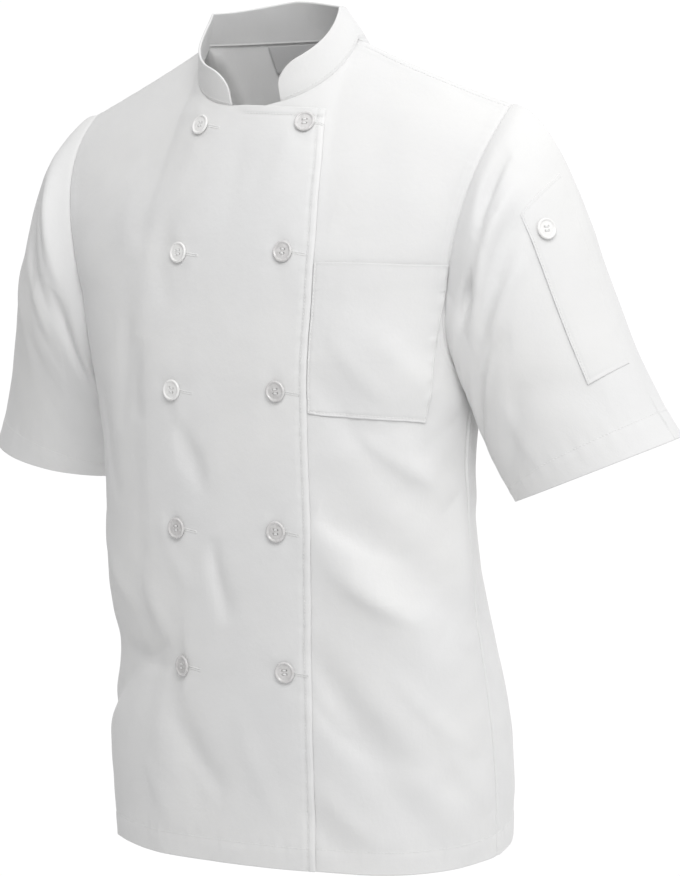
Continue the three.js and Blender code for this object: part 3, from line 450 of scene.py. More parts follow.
def yoke_point(half, side, t, w):
    t, w = np.broadcast_arrays(np.asarray(t, float), np.asarray(w, float))
    u = t * NOTCH[half]
    start = ring_point(half, u, float(NOTCH_Z))
    rise = unit(start - ring_point(half, u, float(NOTCH_Z - 4)))
    leave = rise + np.stack([0 * t, SKEW[half] * t**4, 0 * t], -1)
    end = top_point(half, side, t)
    arrive = unit(np.stack([read(YOKE[half], c, t) for c in (1, 2, 3)], -1))
    p1 = start + leave * read(YOKE[half], 5, t)[..., None]
    p2 = end - arrive * read(YOKE[half], 4, t)[..., None]
    return curve(start, p1, p2, end, w)


def edge_x(z):
    return read(OVERLAP_EDGE, 1, z)


SAMPLES = np.linspace(0, 1, 161)


def left_of_edge(p):
    return p[..., 0] < edge_x(p[..., 2])


YOKE_EDGE = bisect(
    0, 0.6, lambda t: left_of_edge(yoke_point("front", 1, t, SAMPLES)), SAMPLES.shape
)
BODY_EDGE = bisect(0, 0.6, lambda u: left_of_edge(body_point("front", u, SAMPLES)), SAMPLES.shape)
EDGE_AT_TOP = YOKE_EDGE[-1]
FIRST_COLUMN = {
    side: math.asin((x / NECK_POINT[0]) ** (1 / NECK_SQUARE["front"])) / (math.pi / 2)
    * NECK_SHARE / EDGE_AT_TOP
    for side, x in COLLAR_END_X.items()
}


def column_share(side, k, edge, end):
    """Share across a half of column k, with the overlap's edge at a set share."""
    k = np.asarray(k, float)
    share = FIRST_COLUMN[side]
    first = edge * share * k
    rest = share + (1 - share) * (k - 1) / (OVERLAP_COLUMNS - 1)
    neck = (NECK_SHARE - EDGE_AT_TOP) / (1 - EDGE_AT_TOP)
    past = k - OVERLAP_COLUMNS
    on_neck = neck * past / NECK_COLUMNS
    on_shoulder = neck + (1 - neck) * (past - NECK_COLUMNS) / SHOULDER_COLUMNS
    outer = edge + (end - edge) * np.where(past <= NECK_COLUMNS, on_neck, on_shoulder)
    inner = np.where(k <= 1, first, edge * rest)
    return np.where(k <= OVERLAP_COLUMNS, inner, outer)


def half_point(half, side, k, row, top_share):
    """Points of a half's grid, k columns by rows."""
    notch = NOTCH[half]
    w = np.clip((row - BODY_ROWS) / YOKE_ROWS, 0, 1) * top_share
    v = np.clip(row / BODY_ROWS, 0, 1)
    yoke_edge = np.interp(w, SAMPLES, YOKE_EDGE) if half == "front" else EDGE_AT_TOP + 0 * w
    body_edge = np.interp(v, SAMPLES, BODY_EDGE) if half == "front" else EDGE_AT_TOP * notch + 0 * v
    within = np.minimum(k, ARM_COLUMN)
    above = yoke_point(half, side, column_share(side, within, yoke_edge, 1), w)
    angle = np.clip((k - ARM_COLUMN) / SIDE_COLUMNS, 0, 1) * math.pi / 2
    near_side = notch + (1 - notch) * (1 - np.cos(angle))
    across = column_share(side, within, body_edge, notch)
    below = body_point(half, np.where(k > ARM_COLUMN, near_side, across), v)
    return np.where((row > BODY_ROWS)[..., None], above, below)


def overlap_top(side, k, top):
    """Share of the yoke's rows where the straight top edge of an overlap is reached."""
    k = np.asarray(k, float)

    def is_below(w):
        edge = np.interp(w, SAMPLES, YOKE_EDGE)
        p = yoke_point("front", side, column_share(side, k, edge, 1), w)
        return p[..., 2] < top[0] - top[1] * p[..., 0] / edge_x(float(top[0]))

    return bisect(0.2, 1, is_below, k.shape)


def fold_height(x, z, x0, z0, x1, z1, wide, high):
    dx, dz = x1 - x0, z1 - z0
    length = math.hypot(dx, dz)
    along = ((x - x0) * dx + (z - z0) * dz) / length**2
    away = ((x - x0) * dz - (z - z0) * dx) / length
    reach = np.maximum(np.maximum(-along, along - 1), 0) * length
    along = np.clip(along, -0.1, 1.1)
    fade = np.clip(1 - np.abs(along - 0.5) / FOLD_FADE, 0, 1)
    taper = np.where((along < 0) | (along > 1), bell(reach, wide), 1)
    return high * bell(away, wide) * taper * fade**FOLD_BLUNT


def crease_height(x, z, x0, z0, x1, z1, bow, wide0, wide1, high, steep):
    """A bowed crease that thins out to its ends, with one flank steeper than the other."""
    dx, dz = x1 - x0, z1 - z0
    length = math.hypot(dx, dz)
    along = ((x - x0) * dx + (z - z0) * dz) / length**2
    away = ((x - x0) * dz - (z - z0) * dx) / length
    inside = np.clip(along, 0, 1)
    away = away - bow * 4 * inside * (1 - inside)
    wide = (wide0 + (wide1 - wide0) * inside) * np.where(away > 0, 1 - 0.45 * steep, 1 + 0.3 * steep)
    reach = np.maximum(np.maximum(-along, along - 1), 0) * length
    ends = np.clip(4 * inside * (1 - inside), 0, 1) ** CREASE_BLUNT
    return high * bell(away, wide) * ends * bell(reach, CREASE_TAIL)


def turn_of(p):
    side = read(BODY_RINGS, SIDE_DEPTH, p[:, 2])
    return np.degrees(np.arctan2(p[:, 0], side - p[:, 1])), side


def turned(degrees, start):
    turn = degrees - start
    return (turn + 180) % 360 - 180


def fold_body(p):
    degrees, side = turn_of(p)
    out = unit(np.stack([p[:, 0], p[:, 1] - side, 0 * side], -1))
    height = 0
    for a0, z0, a1, z1, wide, high in BODY_FOLDS:
        x = turned(degrees, a0) * MM_PER_DEGREE
        height = height + fold_height(x, p[:, 2], 0, z0, (a1 - a0) * MM_PER_DEGREE, z1, wide, high)
    calm = np.clip((BODY_CALM[0] - p[:, 2]) / BODY_CALM[1], 0, 1)
    near_hem = np.clip((HEM_Z + HEM_RISE_OVER - p[:, 2]) / HEM_RISE_OVER, 0, 1)
    folded = p + out * (height * calm)[:, None]
    folded[:, 2] += read(HEM_RISE, 1, degrees) * near_hem**2
    return folded


def spaced(lengths, marks, close):
    """Fractional columns: even steps along the lengths between whole columns, and close ones
    at the distances given from each mark, on the side given by its sign."""
    places = np.concatenate([[0], np.cumsum(lengths)])
    count = max(2, round(places[-1] / GRAIN))
    at = list(np.linspace(0, places[-1], count + 1))
    at += list(places)
    for mark, side in marks:
        base = places[mark]
        at += [base + side * d for d in close]
    at = sorted(x for x in at if -1e-6 <= x <= places[-1] + 1e-6)
    kept = []
    for x in at:
        pinned = min(abs(x - place) for place in places) < 1e-6
        near = kept and x - kept[-1] < 0.55
        if near and pinned:
            kept[-1] = x
        elif not near:
            kept.append(x)
    return np.interp(kept, places, np.arange(len(places)))


# About how wide and tall the solids' cells are, in mm, and the lines close to seams
CELL_WIDTHS = (
    [13.5] * OVERLAP_COLUMNS + [17] * NECK_COLUMNS + [15] * SHOULDER_COLUMNS + [15] * SIDE_COLUMNS
)
OVER_WIDTHS = [17] * OVERLAP_COLUMNS
CELL_HEIGHTS = [21.3] * BODY_ROWS + [19] * YOKE_ROWS
CLOSE = (0.7, 1.5, 2.4, 3.6, 5, 6.4, 8)
HALF_COLUMNS = spaced(CELL_WIDTHS, [(ARM_COLUMN, -1), (SIDE_COLUMN, -1)], CLOSE)
OVER_COLUMNS = spaced(OVER_WIDTHS, [(OVERLAP_COLUMNS, -1)], CLOSE)
ROWS = spaced(CELL_HEIGHTS, [(0, 1), (BODY_ROWS, -1), (TOP_ROW, -1)], CLOSE)
HALF_COLUMNS = np.union1d(HALF_COLUMNS, [1.0])


class Panel:
    """Points that adjoining grids share, and cells seen from outside."""

    def __init__(self, name, wall, family="body"):
        self.name, self.wall, self.family = name, wall, family
        self.points, self.cut, self.lifts, self.cells = [], [], [], []
        self.index = {}

    def add_grid(self, points, cut, lifts):
        """points is columns by rows by xyz; entries that are nan have no point."""
        ids = np.full(points.shape[:2], -1)
        for i in range(points.shape[0]):
            for j in range(points.shape[1]):
                p = points[i, j]
                if p[0] != p[0]:
                    continue
                key = (round(p[0] * 100), round(p[1] * 100), round(p[2] * 100))
                at = self.index.get(key)
                if at is None:
                    at = len(self.points)
                    self.index[key] = at
                    self.points.append(p)
                    self.cut.append(cut[i, j])
                    self.lifts.append(lifts[i, j])
                ids[i, j] = at
        return ids

    def add_cells(self, ids, flip):
        a, b, c, d = ids[:-1, :-1], ids[1:, :-1], ids[1:, 1:], ids[:-1, 1:]
        quads = np.stack([a, b, c, d], -1).reshape(-1, 4)
        quads = quads[(quads >= 0).all(1)]
        self.cells.append(quads[:, ::-1] if flip else quads)

    def close(self):
        self.points = np.array(self.points)
        self.cut = np.array(self.cut)
        self.lifts = np.array(self.lifts)
        self.cells = np.concatenate(self.cells)
        normals = cell_normals(self.points, self.cells)
        self.points = self.points + normals * self.lifts[:, None]
        self.normals = cell_normals(self.points, self.cells)
        self.index = None


def cell_normals(points, cells):
    p = points[cells]
    face = np.cross(p[:, 2] - p[:, 0], p[:, 3] - p[:, 1])
    normals = np.zeros_like(points)
    for corner in range(4):
        np.add.at(normals, cells[:, corner], face)
    return unit(normals)


def lengths_over(points, axis):
    step = np.linalg.norm(np.diff(points, axis=axis), axis=-1)
    step = np.nan_to_num(step)
    start = np.zeros_like(np.take(step, [0], axis=axis))
    return np.concatenate([start, np.cumsum(step, axis=axis)], axis=axis)


def cut_of(points, side):
    """Lengths along the cloth, from the centre line and from the hem."""
    return np.stack([side * lengths_over(points, 0), lengths_over(points, 1)], -1)


def ease_neck(points):
    """Spread the turn below the neck point over the columns beside it."""
    columns, rows = HALF_COLUMNS, ROWS
    share = np.gradient(columns)
    beside = smooth(columns, OVERLAP_COLUMNS + 0.3, NECK_END - 0.3)
    beside *= 1 - smooth(columns, NECK_END + 1, ARM_COLUMN - 1)
    down = smooth(rows, BODY_ROWS - 5, BODY_ROWS + 1) * (1 - smooth(rows, TOP_ROW - 1.6, TOP_ROW))
    eased = points.copy()
    for j in np.nonzero(down > 0)[0]:
        wide = 0.35 + 1.15 * down[j]
        near = bell(columns[:, None] - columns[None, :], wide) * share[None, :]
        spread = near @ points[:, j] / near.sum(1, keepdims=True)
        eased[:, j] += (spread - points[:, j]) * (beside * down[j])[:, None]
    return eased


def half_grid(half, side, top_share):
    k = HALF_COLUMNS[:, None] + 0 * ROWS[None, :]
    row = ROWS[None, :] + 0 * HALF_COLUMNS[:, None]
    flat = half_point(half, side, k, row, top_share[:, None])
    gone = (k > ARM_COLUMN + 1e-9) & (row > BODY_ROWS + 1e-9)
    flat_z = flat[..., 2].copy()
    points = flat * np.array([side, 1, 1])
    points = ease_neck(points)
    points = fold_body(points.reshape(-1, 3)).reshape(points.shape)
    cut = cut_of(points, side)
    points[gone] = np.nan
    return points, cut, flat_z


def over_grid(side, top):
    k = OVER_COLUMNS[:, None] + 0 * ROWS[None, :]
    row = ROWS[None, :] + 0 * OVER_COLUMNS[:, None]
    share = overlap_top(side, OVER_COLUMNS, top)
    flat = half_point("front", side, k, row, share[:, None])
    points = flat * np.array([side, 1, 1])
    points = fold_body(points.reshape(-1, 3)).reshape(points.shape)
    return points, cut_of(points, side)


def front_top_share(side, top):
    """The top edge falls from the collar's end to the overlap's top at the centre."""
    low = float(overlap_top(side, np.array([0.0]), top)[0])
    share = np.ones_like(HALF_COLUMNS)
    first = HALF_COLUMNS < 1
    share[first] = low + (1 - low) * HALF_COLUMNS[first]
    return share


def make_front(name, own_side, top, lift):
    panel = Panel(name, CLOTH)
    points, cut, flat_z = half_grid("front", own_side, front_top_share(own_side, top))
    k = HALF_COLUMNS[:, None]
    fall = np.clip((LIFT_FALL[0] - flat_z) / LIFT_FALL[1], 0, 1)
    near_centre = np.clip(1 - k, 0, 1)
    lifts = lift * (near_centre + (1 - near_centre) * fall)
    lifts = lifts * (1 - smooth(k, OVERLAP_COLUMNS - 0.5, NECK_END + 0.5))
    panel.own = panel.add_grid(points, cut, lifts)
    panel.add_cells(panel.own, own_side < 0)
    points, cut = over_grid(-own_side, top)
    panel.over = panel.add_grid(points, cut, np.full(points.shape[:2], float(lift)))
    panel.add_cells(panel.over, own_side > 0)
    panel.close()
    return panel


def make_back():
    panel = Panel("back", CLOTH)
    share = np.ones_like(HALF_COLUMNS)
    for side in (1, -1):
        points, cut, _ = half_grid("back", side, share)
        ids = panel.add_grid(points, cut, np.zeros(points.shape[:2]))
        panel.add_cells(ids, side > 0)
        if side > 0:
            panel.left = ids
        else:
            panel.right = ids
    panel.close()
    return panel


ARM_AT = int(np.argmin(np.abs(HALF_COLUMNS - ARM_COLUMN)))
SIDE_AT = len(HALF_COLUMNS) - 1
NOTCH_AT = int(np.argmin(np.abs(ROWS - BODY_ROWS)))
TOP_AT = len(ROWS) - 1
FIRST_AT = int(np.argmin(np.abs(HALF_COLUMNS - 1)))
NECK_AT = int(np.argmin(np.abs(HALF_COLUMNS - NECK_END)))


def armhole_ids(front_ids, back_ids):
    """Ids on the front, then on the back, from the shoulder tip down the front and up the back."""
    front = [front_ids[ARM_AT, j] for j in range(TOP_AT, NOTCH_AT - 1, -1)]
    front += [front_ids[i, NOTCH_AT] for i in range(ARM_AT + 1, SIDE_AT + 1)]
    back = [back_ids[i, NOTCH_AT] for i in range(SIDE_AT - 1, ARM_AT - 1, -1)]
    back += [back_ids[ARM_AT, j] for j in range(NOTCH_AT + 1, TOP_AT)]
    return front, back


def sleeve_surface(side, start, share, w):
    cuff = CUFF[side]
    outward = np.array([math.cos(cuff["tilt"]), 0, math.sin(cuff["tilt"])])
    backward = np.array([0, math.cos(CUFF_BACK_LIFT), math.sin(CUFF_BACK_LIFT)])
    angle = 2 * math.pi * share[:, None]
    end = cuff["centre"] + cuff["outward"] * np.cos(angle) * outward
    end = end - cuff["forward"] * np.sin(angle) * backward
    arrive = unit(np.cross(backward, outward) * CUFF_AXIS_SHARE + CUFF_APPROACH)
    leave = unit(np.stack([read(SLEEVE_START, c, share) for c in (1, 2, 3)], -1))
    p1 = start + leave * read(SLEEVE_START, 4, share)[:, None]
    p2 = end - arrive * read(SLEEVE_START, 5, share)[:, None]
    return curve(start[:, None], p1[:, None], p2[:, None], end[:, None], w[None, :] + 0 * angle)


def make_sleeve(name, side, front, front_ids, back, back_ids, folds):
    on_front, on_back = armhole_ids(front_ids, back_ids)
    loop = np.concatenate([front.points[on_front], back.points[on_back]])
    start = loop * np.array([side, 1, 1])
    step = np.linalg.norm(np.diff(np.vstack([loop, loop[:1]]), axis=0), axis=1)
    share = np.concatenate([[0], np.cumsum(step)[:-1]]) / step.sum()
    w = sleeve_rows()
    points = sleeve_surface(side, start, share, w) * np.array([side, 1, 1])
    points[:, 0] = loop
    centre = points.mean(0, keepdims=True)
    height = 0
    x = share[:, None] * SLEEVE_ROUND_MM
    z = w[None, :] * SLEEVE_DOWN_MM
    for f0, w0, f1, w1, wide, high in folds:
        height = height + fold_height(
            x, z, f0 * SLEEVE_ROUND_MM, w0 * SLEEVE_DOWN_MM,
            f1 * SLEEVE_ROUND_MM, w1 * SLEEVE_DOWN_MM, wide, high,
        )
    height = height * np.clip(w / SLEEVE_CALM, 0, 1)[None, :]
    points = points + unit(points - centre) * height[..., None]
    panel = Panel(name, CLOTH, "sleeve")
    panel.share, panel.down = share, w
    cut = np.stack([x + 0 * z, z + 0 * x], -1)
    panel.ids = panel.add_grid(points, cut, np.zeros(points.shape[:2]))
    panel.add_cells(np.vstack([panel.ids, panel.ids[:1]]), side < 0)
    panel.place = np.zeros((len(panel.points), 2))
    place = np.stack([share[:, None] + 0 * z, w[None, :] + 0 * x], -1)
    panel.place[panel.ids.ravel()] = place.reshape(-1, 2)
    panel.close()
    return panel


def sleeve_rows():
    lengths = [SLEEVE_DOWN_MM / SLEEVE_ROWS] * SLEEVE_ROWS
    return spaced(lengths, [(0, 1), (SLEEVE_ROWS, -1)], CLOSE) / SLEEVE_ROWS


def make_collar(right, left, back):
    rim = list(right.points[[right.own[i, TOP_AT] for i in range(FIRST_AT, NECK_AT + 1)]])
    rim += list(back.points[[back.right[i, TOP_AT] for i in range(NECK_AT - 1, -1, -1)]])
    rim += list(back.points[[back.left[i, TOP_AT] for i in range(1, NECK_AT + 1)]])
    rim += list(left.points[[left.own[i, TOP_AT] for i in range(NECK_AT - 1, FIRST_AT - 1, -1)]])
    base = np.array(rim)
    along = along_line(base)
    whole = along[-1]
    # more columns at the rounded ends
    extra = []
    for d in COLLAR_END_STEPS:
        extra += [d, whole - d]
    near = [x for x in extra if np.min(np.abs(along - x)) > 0.3]
    at = np.sort(np.concatenate([along, near]))
    base = at_length(base, along, at)
    along = at
    from_end = np.minimum(along, whole - along)
    f = 2 * from_end / whole
    side = np.sign(along - whole / 2)
    square = np.clip(1 - from_end / COLLAR_ROUND, 0, 1)
    rounded = COLLAR_END_SHARE_UP + (1 - COLLAR_END_SHARE_UP) * np.sqrt(1 - square**2)
    height = read(COLLAR_RISE, 3, f) * rounded
    lean = unit(np.stack([side * read(COLLAR_RISE, 1, f), read(COLLAR_RISE, 2, f), 1 + 0 * f], -1))
    up = np.array(COLLAR_STEPS) / COLLAR_STEPS[-1]
    points = base[:, None] + lean[:, None] * (height[:, None] * up[None, :])[..., None]
    panel = Panel("collar", COLLAR_CLOTH, "collar")
    cut = np.stack([along[:, None] + 0 * up[None, :], height[:, None] * up[None, :]], -1)
    panel.ids = panel.add_grid(points, cut, np.zeros(points.shape[:2]))
    panel.add_cells(panel.ids, True)
    panel.close()
    return panel


def share_seams(panels):
    """One direction through the cloth where panels meet."""
    meeting = {}
    for panel in panels:
        edge = np.unique(open_edges(panel.cells).ravel())
        panel.edge_ids = edge
        for i in edge:
            key = tuple(np.round(panel.points[i] * 20).astype(int))
            families = meeting.setdefault(key, {})
            families[panel.family] = families.get(panel.family, 0) + panel.normals[i]
    for panel in panels:
        panel.through = panel.normals.copy()
        panel.turn = np.ones(len(panel.points))
        for i in panel.edge_ids:
            key = tuple(np.round(panel.points[i] * 20).astype(int))
            normals = [unit(n) for n in meeting[key].values()]
            middle = unit(sum(normals))
            panel.through[i] = middle
            panel.turn[i] = max(sum(float(n @ middle) for n in normals) / len(normals), 0.65)


def open_edges(cells):
    pairs = np.concatenate([cells[:, [i, (i + 1) % 4]] for i in range(4)])
    size = int(cells.max()) + 1
    forward = pairs[:, 0].astype(np.int64) * size + pairs[:, 1]
    backward = pairs[:, 1].astype(np.int64) * size + pairs[:, 0]
    return pairs[~np.isin(forward, backward)]


def rough(points, size, seed):
    """Gentle waves of about one unit's height, with the given spacing."""
    shift = Vector((seed * 7.3, seed * 3.1, seed * 5.7))
    return np.array([noise.noise(Vector(p) / size + shift) for p in points])


def near_line(points, line, reach):
    """Distance of each point to a line, and how far along that line it lies."""
    tree = kdtree.KDTree(len(line))
    for i, p in enumerate(line):
        tree.insert(p, i)
    tree.balance()
    along = along_line(line)
    low, high = line.min(0) - reach, line.max(0) + reach
    close = ((points > low) & (points < high)).all(1)
    distance = np.full(len(points), 1e3)
    place = np.zeros(len(points))
    for i in np.nonzero(close)[0]:
        _, at, gap = tree.find(points[i])
        distance[i] = gap
        place[i] = along[at]
    return distance, place


def resampled(line, step):
    along = along_line(line)
    count = max(2, int(round(along[-1] / step)) + 1)
    at = np.linspace(0, along[-1], count)
    return at_length(line, along, at)


def pucker(place, spacing, seed):
    """Uneven gathering along a seam, from -1 to 1."""
    wave = np.sin(2 * math.pi * place / spacing + seed)
    other = np.sin(2 * math.pi * place / (spacing * 1.73) + 2.1 * seed)
    return 0.6 * wave + 0.4 * other


def seam_relief(distance, place, banded, stitch, seed):
    """Height beside a seam: a ditch at the seam, a band over the allowance, a stitch line."""
    height = -DITCH_DEPTH * bell(distance, DITCH_WIDTH)
    if banded:
        band = BAND_HEIGHT * smooth(distance, 0.5, 2.5) * (1 - smooth(distance, stitch + 1.5, stitch + 5))
        line = -0.4 * bell(distance - stitch, 1.0)
        height = height + band + line
        height = height + 0.22 * bell(distance - stitch, 5) * pucker(place, 9, seed)
    return height


def hem_relief(distance, place, stitch, seed):
    """A turned-up hem: thicker to its stitch line, pulled in at the stitches."""
    thick = 0.5 * (1 - smooth(distance, stitch - 0.5, stitch + 2.5))
    line = -0.5 * bell(distance - stitch, 1.4)
    return thick + line + 0.35 * bell(distance - stitch, 9) * pucker(place, 13, seed)


def mesh_object(name, vertices, faces, material, cut=None):
    mesh = bpy.data.meshes.new(name)
    mesh.from_pydata([tuple(v) for v in np.asarray(vertices) * MM], [], faces)
    mesh.validate()
    mesh.shade_smooth()
    if cut is not None:
        layer = mesh.attributes.new("cut", "FLOAT_VECTOR", "POINT")
        flat = np.zeros((len(vertices), 3), np.float32)
        flat[:, :2] = np.asarray(cut) * MM
        layer.data.foreach_set("vector", flat.ravel())
    mesh.materials.append(material)
    mesh.update()
    piece = bpy.data.objects.new(name, mesh)
    scene.collection.objects.link(piece)
    return piece


def shell(panel, name, material, bead):
    """Closed thin shell: the outer points, the inner points and a rounded free edge."""
    outer = panel.outer
    count = len(outer)
    thickness = panel.wall / panel.turn
    inner = outer - panel.through * thickness[:, None]
    edges = open_edges(panel.cells)
    vertices = [outer, inner]
    faces = [tuple(c) for c in panel.cells]
    faces += [tuple(c[::-1] + count) for c in panel.cells]
    free = {}
    away = np.zeros_like(outer)
    for a, b in edges:
        out = np.cross(outer[b] - outer[a], panel.through[a])
        away[a] += out
        away[b] += out
    away = unit(away)
    extra = []
    for a, b in edges:
        for i in (a, b):
            if i not in free:
                free[i] = 2 * count + len(extra)
                push = 0 if panel.sewn[i] else bead
                extra.append((outer[i] + inner[i]) / 2 + away[i] * push)
        faces.append((b, a, free[a], free[b]))
        faces.append((free[b], free[a], a + count, b + count))
    vertices.append(np.array(extra))
    cut = np.concatenate([panel.cut, panel.cut, panel.cut[list(free)]])
    faces = [tuple(int(i) for i in face) for face in faces]
    return mesh_object(name, np.concatenate(vertices), faces, material, cut)


def mark_sewn(panels):
    """Edge points that another panel shares."""
    seen = {}
    for panel in panels:
        for i in panel.edge_ids:
            key = tuple(np.round(panel.points[i] * 20).astype(int))
            seen.setdefault(key, set()).add(panel.name)
    for panel in panels:
        panel.sewn = np.zeros(len(panel.points), bool)
        for i in panel.edge_ids:
            key = tuple(np.round(panel.points[i] * 20).astype(int))
            panel.sewn[i] = len(seen[key]) > 1


# Materials


TWILL_SLANT = math.radians(58)


def new_material(name, colour, roughness, **sockets):
    material = bpy.data.materials.new(name)
    material.use_nodes = True
    shader = material.node_tree.nodes["Principled BSDF"]
    shader.inputs["Base Color"].default_value = (*colour, 1)
    shader.inputs["Roughness"].default_value = roughness
    for socket, value in sockets.items():
        shader.inputs[socket.replace("_", " ")].default_value = value
    return material, material.node_tree, shader


def link(tree, source, target):
    tree.links.new(source, target)


def tone(tree, shader, source, low, high):
    """Colour between two values, led by a texture."""
    ramp = tree.nodes.new("ShaderNodeValToRGB")
    ramp.color_ramp.elements[0].position = 0.3
    ramp.color_ramp.elements[1].position = 0.7
    ramp.color_ramp.elements[0].color = (*low, 1)
    ramp.color_ramp.elements[1].color = (*high, 1)
    link(tree, source, ramp.inputs["Fac"])
    link(tree, ramp.outputs["Color"], shader.inputs["Base Color"])


def place_in(tree):
    return tree.nodes.new("ShaderNodeTexCoord").outputs["Object"]


def cut_in(tree):
    """Lengths along the cloth, from the mesh."""
    cut = tree.nodes.new("ShaderNodeAttribute")
    cut.attribute_name = "cut"
    return cut.outputs["Vector"]


def texture(tree, kind, source, **sockets):
    node = tree.nodes.new(f"ShaderNodeTex{kind}")
    for socket, value in sockets.items():
        node.inputs[socket.replace("_", " ")].default_value = value
    link(tree, source, node.inputs["Vector"])
    return node


def bumped(tree, source, strength, distance, before=None):
    """Normal of a bump, on top of another bump's where one is given."""
    bump = tree.nodes.new("ShaderNodeBump")
    bump.inputs["Strength"].default_value = strength
    bump.inputs["Distance"].default_value = distance
    link(tree, source.outputs["Fac"], bump.inputs["Height"])
    if before is not None:
        link(tree, before, bump.inputs["Normal"])
    return bump.outputs["Normal"]


def twill_material():
    material, tree, shader = new_material(
        "cloth_twill", (0.8, 0.8, 0.795), 0.88,
        Sheen_Weight=0.25, Sheen_Roughness=0.5, Specular_IOR_Level=0.25,
    )
    place = place_in(tree)
    # Diagonal ribs of the twill
    turn = tree.nodes.new("ShaderNodeMapping")
    turn.inputs["Rotation"].default_value = (0, 0, TWILL_SLANT)
    link(tree, cut_in(tree), turn.inputs["Vector"])
    ribs = texture(tree, "Wave", turn.outputs["Vector"], Scale=350, Distortion=1.2, Detail=2, Detail_Scale=3)
    ribs.bands_direction = "X"
    fibre = texture(tree, "Noise", place, Scale=1400, Detail=3)
    crumple = texture(tree, "Noise", place, Scale=42, Detail=5, Roughness=0.62)
    patches = texture(tree, "Noise", place, Scale=6, Detail=4)
    normal = bumped(tree, crumple, 0.28, 0.0022)
    normal = bumped(tree, ribs, 0.35, 0.00012, normal)
    normal = bumped(tree, fibre, 0.25, 0.0001, normal)
    link(tree, normal, shader.inputs["Normal"])
    tone(tree, shader, patches.outputs["Fac"], (0.775, 0.776, 0.778), (0.815, 0.812, 0.805))
    return material


def thread_material(name, colour):
    material, tree, shader = new_material(name, colour, 0.6, Sheen_Weight=0.3)
    twist = texture(tree, "Noise", place_in(tree), Scale=2500)
    link(tree, bumped(tree, twist, 0.4, 0.0001), shader.inputs["Normal"])
    tone(tree, shader, twist.outputs["Fac"], [c * 0.94 for c in colour], colour)
    return material


def button_material(name, low, high, roughness):
    material, tree, shader = new_material(name, high, roughness, Coat_Weight=0.4, Coat_Roughness=0.12)
    place = place_in(tree)
    cloud = texture(tree, "Noise", place, Scale=160, Detail=4, Distortion=1.4)
    scuff = texture(tree, "Noise", place, Scale=900)
    link(tree, bumped(tree, scuff, 0.12, 0.0001), shader.inputs["Normal"])
    tone(tree, shader, cloud.outputs["Fac"], low, high)
    return material


def label_material():
    material, tree, shader = new_material("label_satin", (0.6, 0.6, 0.6), 0.45, Sheen_Weight=0.15)
    ribs = texture(tree, "Wave", cut_in(tree), Scale=420, Distortion=0.6)
    ribs.bands_direction = "Y"
    link(tree, bumped(tree, ribs, 0.4, 0.00012), shader.inputs["Normal"])
    tone(tree, shader, ribs.outputs["Fac"], (0.56, 0.56, 0.565), (0.62, 0.62, 0.62))
    return material


TWILL = twill_material()
THREAD = thread_material("cloth_thread", (0.84, 0.84, 0.835))
WHITE_BUTTON = button_material("button_white", (0.84, 0.83, 0.82), (0.9, 0.9, 0.89), 0.28)
# A darker, greyer copy of the button material: painted shade for the buttons in shadow
SHADED_BUTTON = button_material("button_painted_shade", (0.6, 0.59, 0.585), (0.74, 0.73, 0.725), 0.24)
LABEL_SATIN = label_material()


# Stitches


CAPSULE_AT = np.array([0, 0.1, 0.3, 0.7, 0.9, 1])
CAPSULE_WIDE = np.array([0.35, 0.8, 1, 1, 0.8, 0.35])
CAPSULE_RISE = np.array([-1.1, -0.3, 0.35, 0.35, -0.3, -1.1])
CAPSULE_SIDES = 6


def capsules(starts, ends, ups, radius, rise=1.0):
    """Short threads from start to end that dive into the cloth at both ends."""
    starts, ends, ups = (np.asarray(x, float) for x in (starts, ends, ups))
    along = ends - starts
    side = unit(np.cross(along, ups))
    up = unit(np.cross(side, along))
    angle = 2 * math.pi * np.arange(CAPSULE_SIDES) / CAPSULE_SIDES
    rings = []
    for at, wide, high in zip(CAPSULE_AT, CAPSULE_WIDE, CAPSULE_RISE):
        centre = starts + along * at + up * (high * radius * rise)
        ring = (
            centre[:, None]
            + side[:, None] * (np.cos(angle) * wide * radius)[None, :, None]
            + up[:, None] * (np.sin(angle) * wide * radius)[None, :, None]
        )
        rings.append(ring)
    vertices = np.stack(rings, 1)
    count, rows, sides = vertices.shape[:3]
    faces = []
    for r in range(rows - 1):
        for s in range(sides):
            t = (s + 1) % sides
            faces.append((r * sides + s, r * sides + t, (r + 1) * sides + t, (r + 1) * sides + s))
    caps = [tuple(range(sides))[::-1], tuple((rows - 1) * sides + s for s in range(sides))]
    each = rows * sides
    all_faces = []
    for i in range(count):
        base = i * each
        all_faces += [tuple(base + x for x in f) for f in faces]
        all_faces += [tuple(base + x for x in f) for f in caps]
    return vertices.reshape(-1, 3), all_faces


class Surface:
    """The outer face of a piece, to lay things on."""

    def __init__(self, panel):
        self.tree = BVHTree.FromPolygons(
            [tuple(p) for p in panel.outer], [tuple(int(i) for i in c) for c in panel.cells]
        )

    def near(self, p):
        spot, normal, _, _ = self.tree.find_nearest(Vector(p))
        return np.array(spot), np.array(normal)


def offset_line(surface, line, distance, side):
    """A line moved across the surface by a distance, to its left or right."""
    line = resampled(line, 1.5)
    tangent = unit(np.gradient(line, axis=0))
    moved = []
    for p, t in zip(line, tangent):
        spot, normal = surface.near(p)
        inward = unit(np.cross(normal, t)) * side
        here = spot
        for _ in range(3):
            here, normal = surface.near(here + inward * distance / 3)
        moved.append(here)
    return np.array(moved)


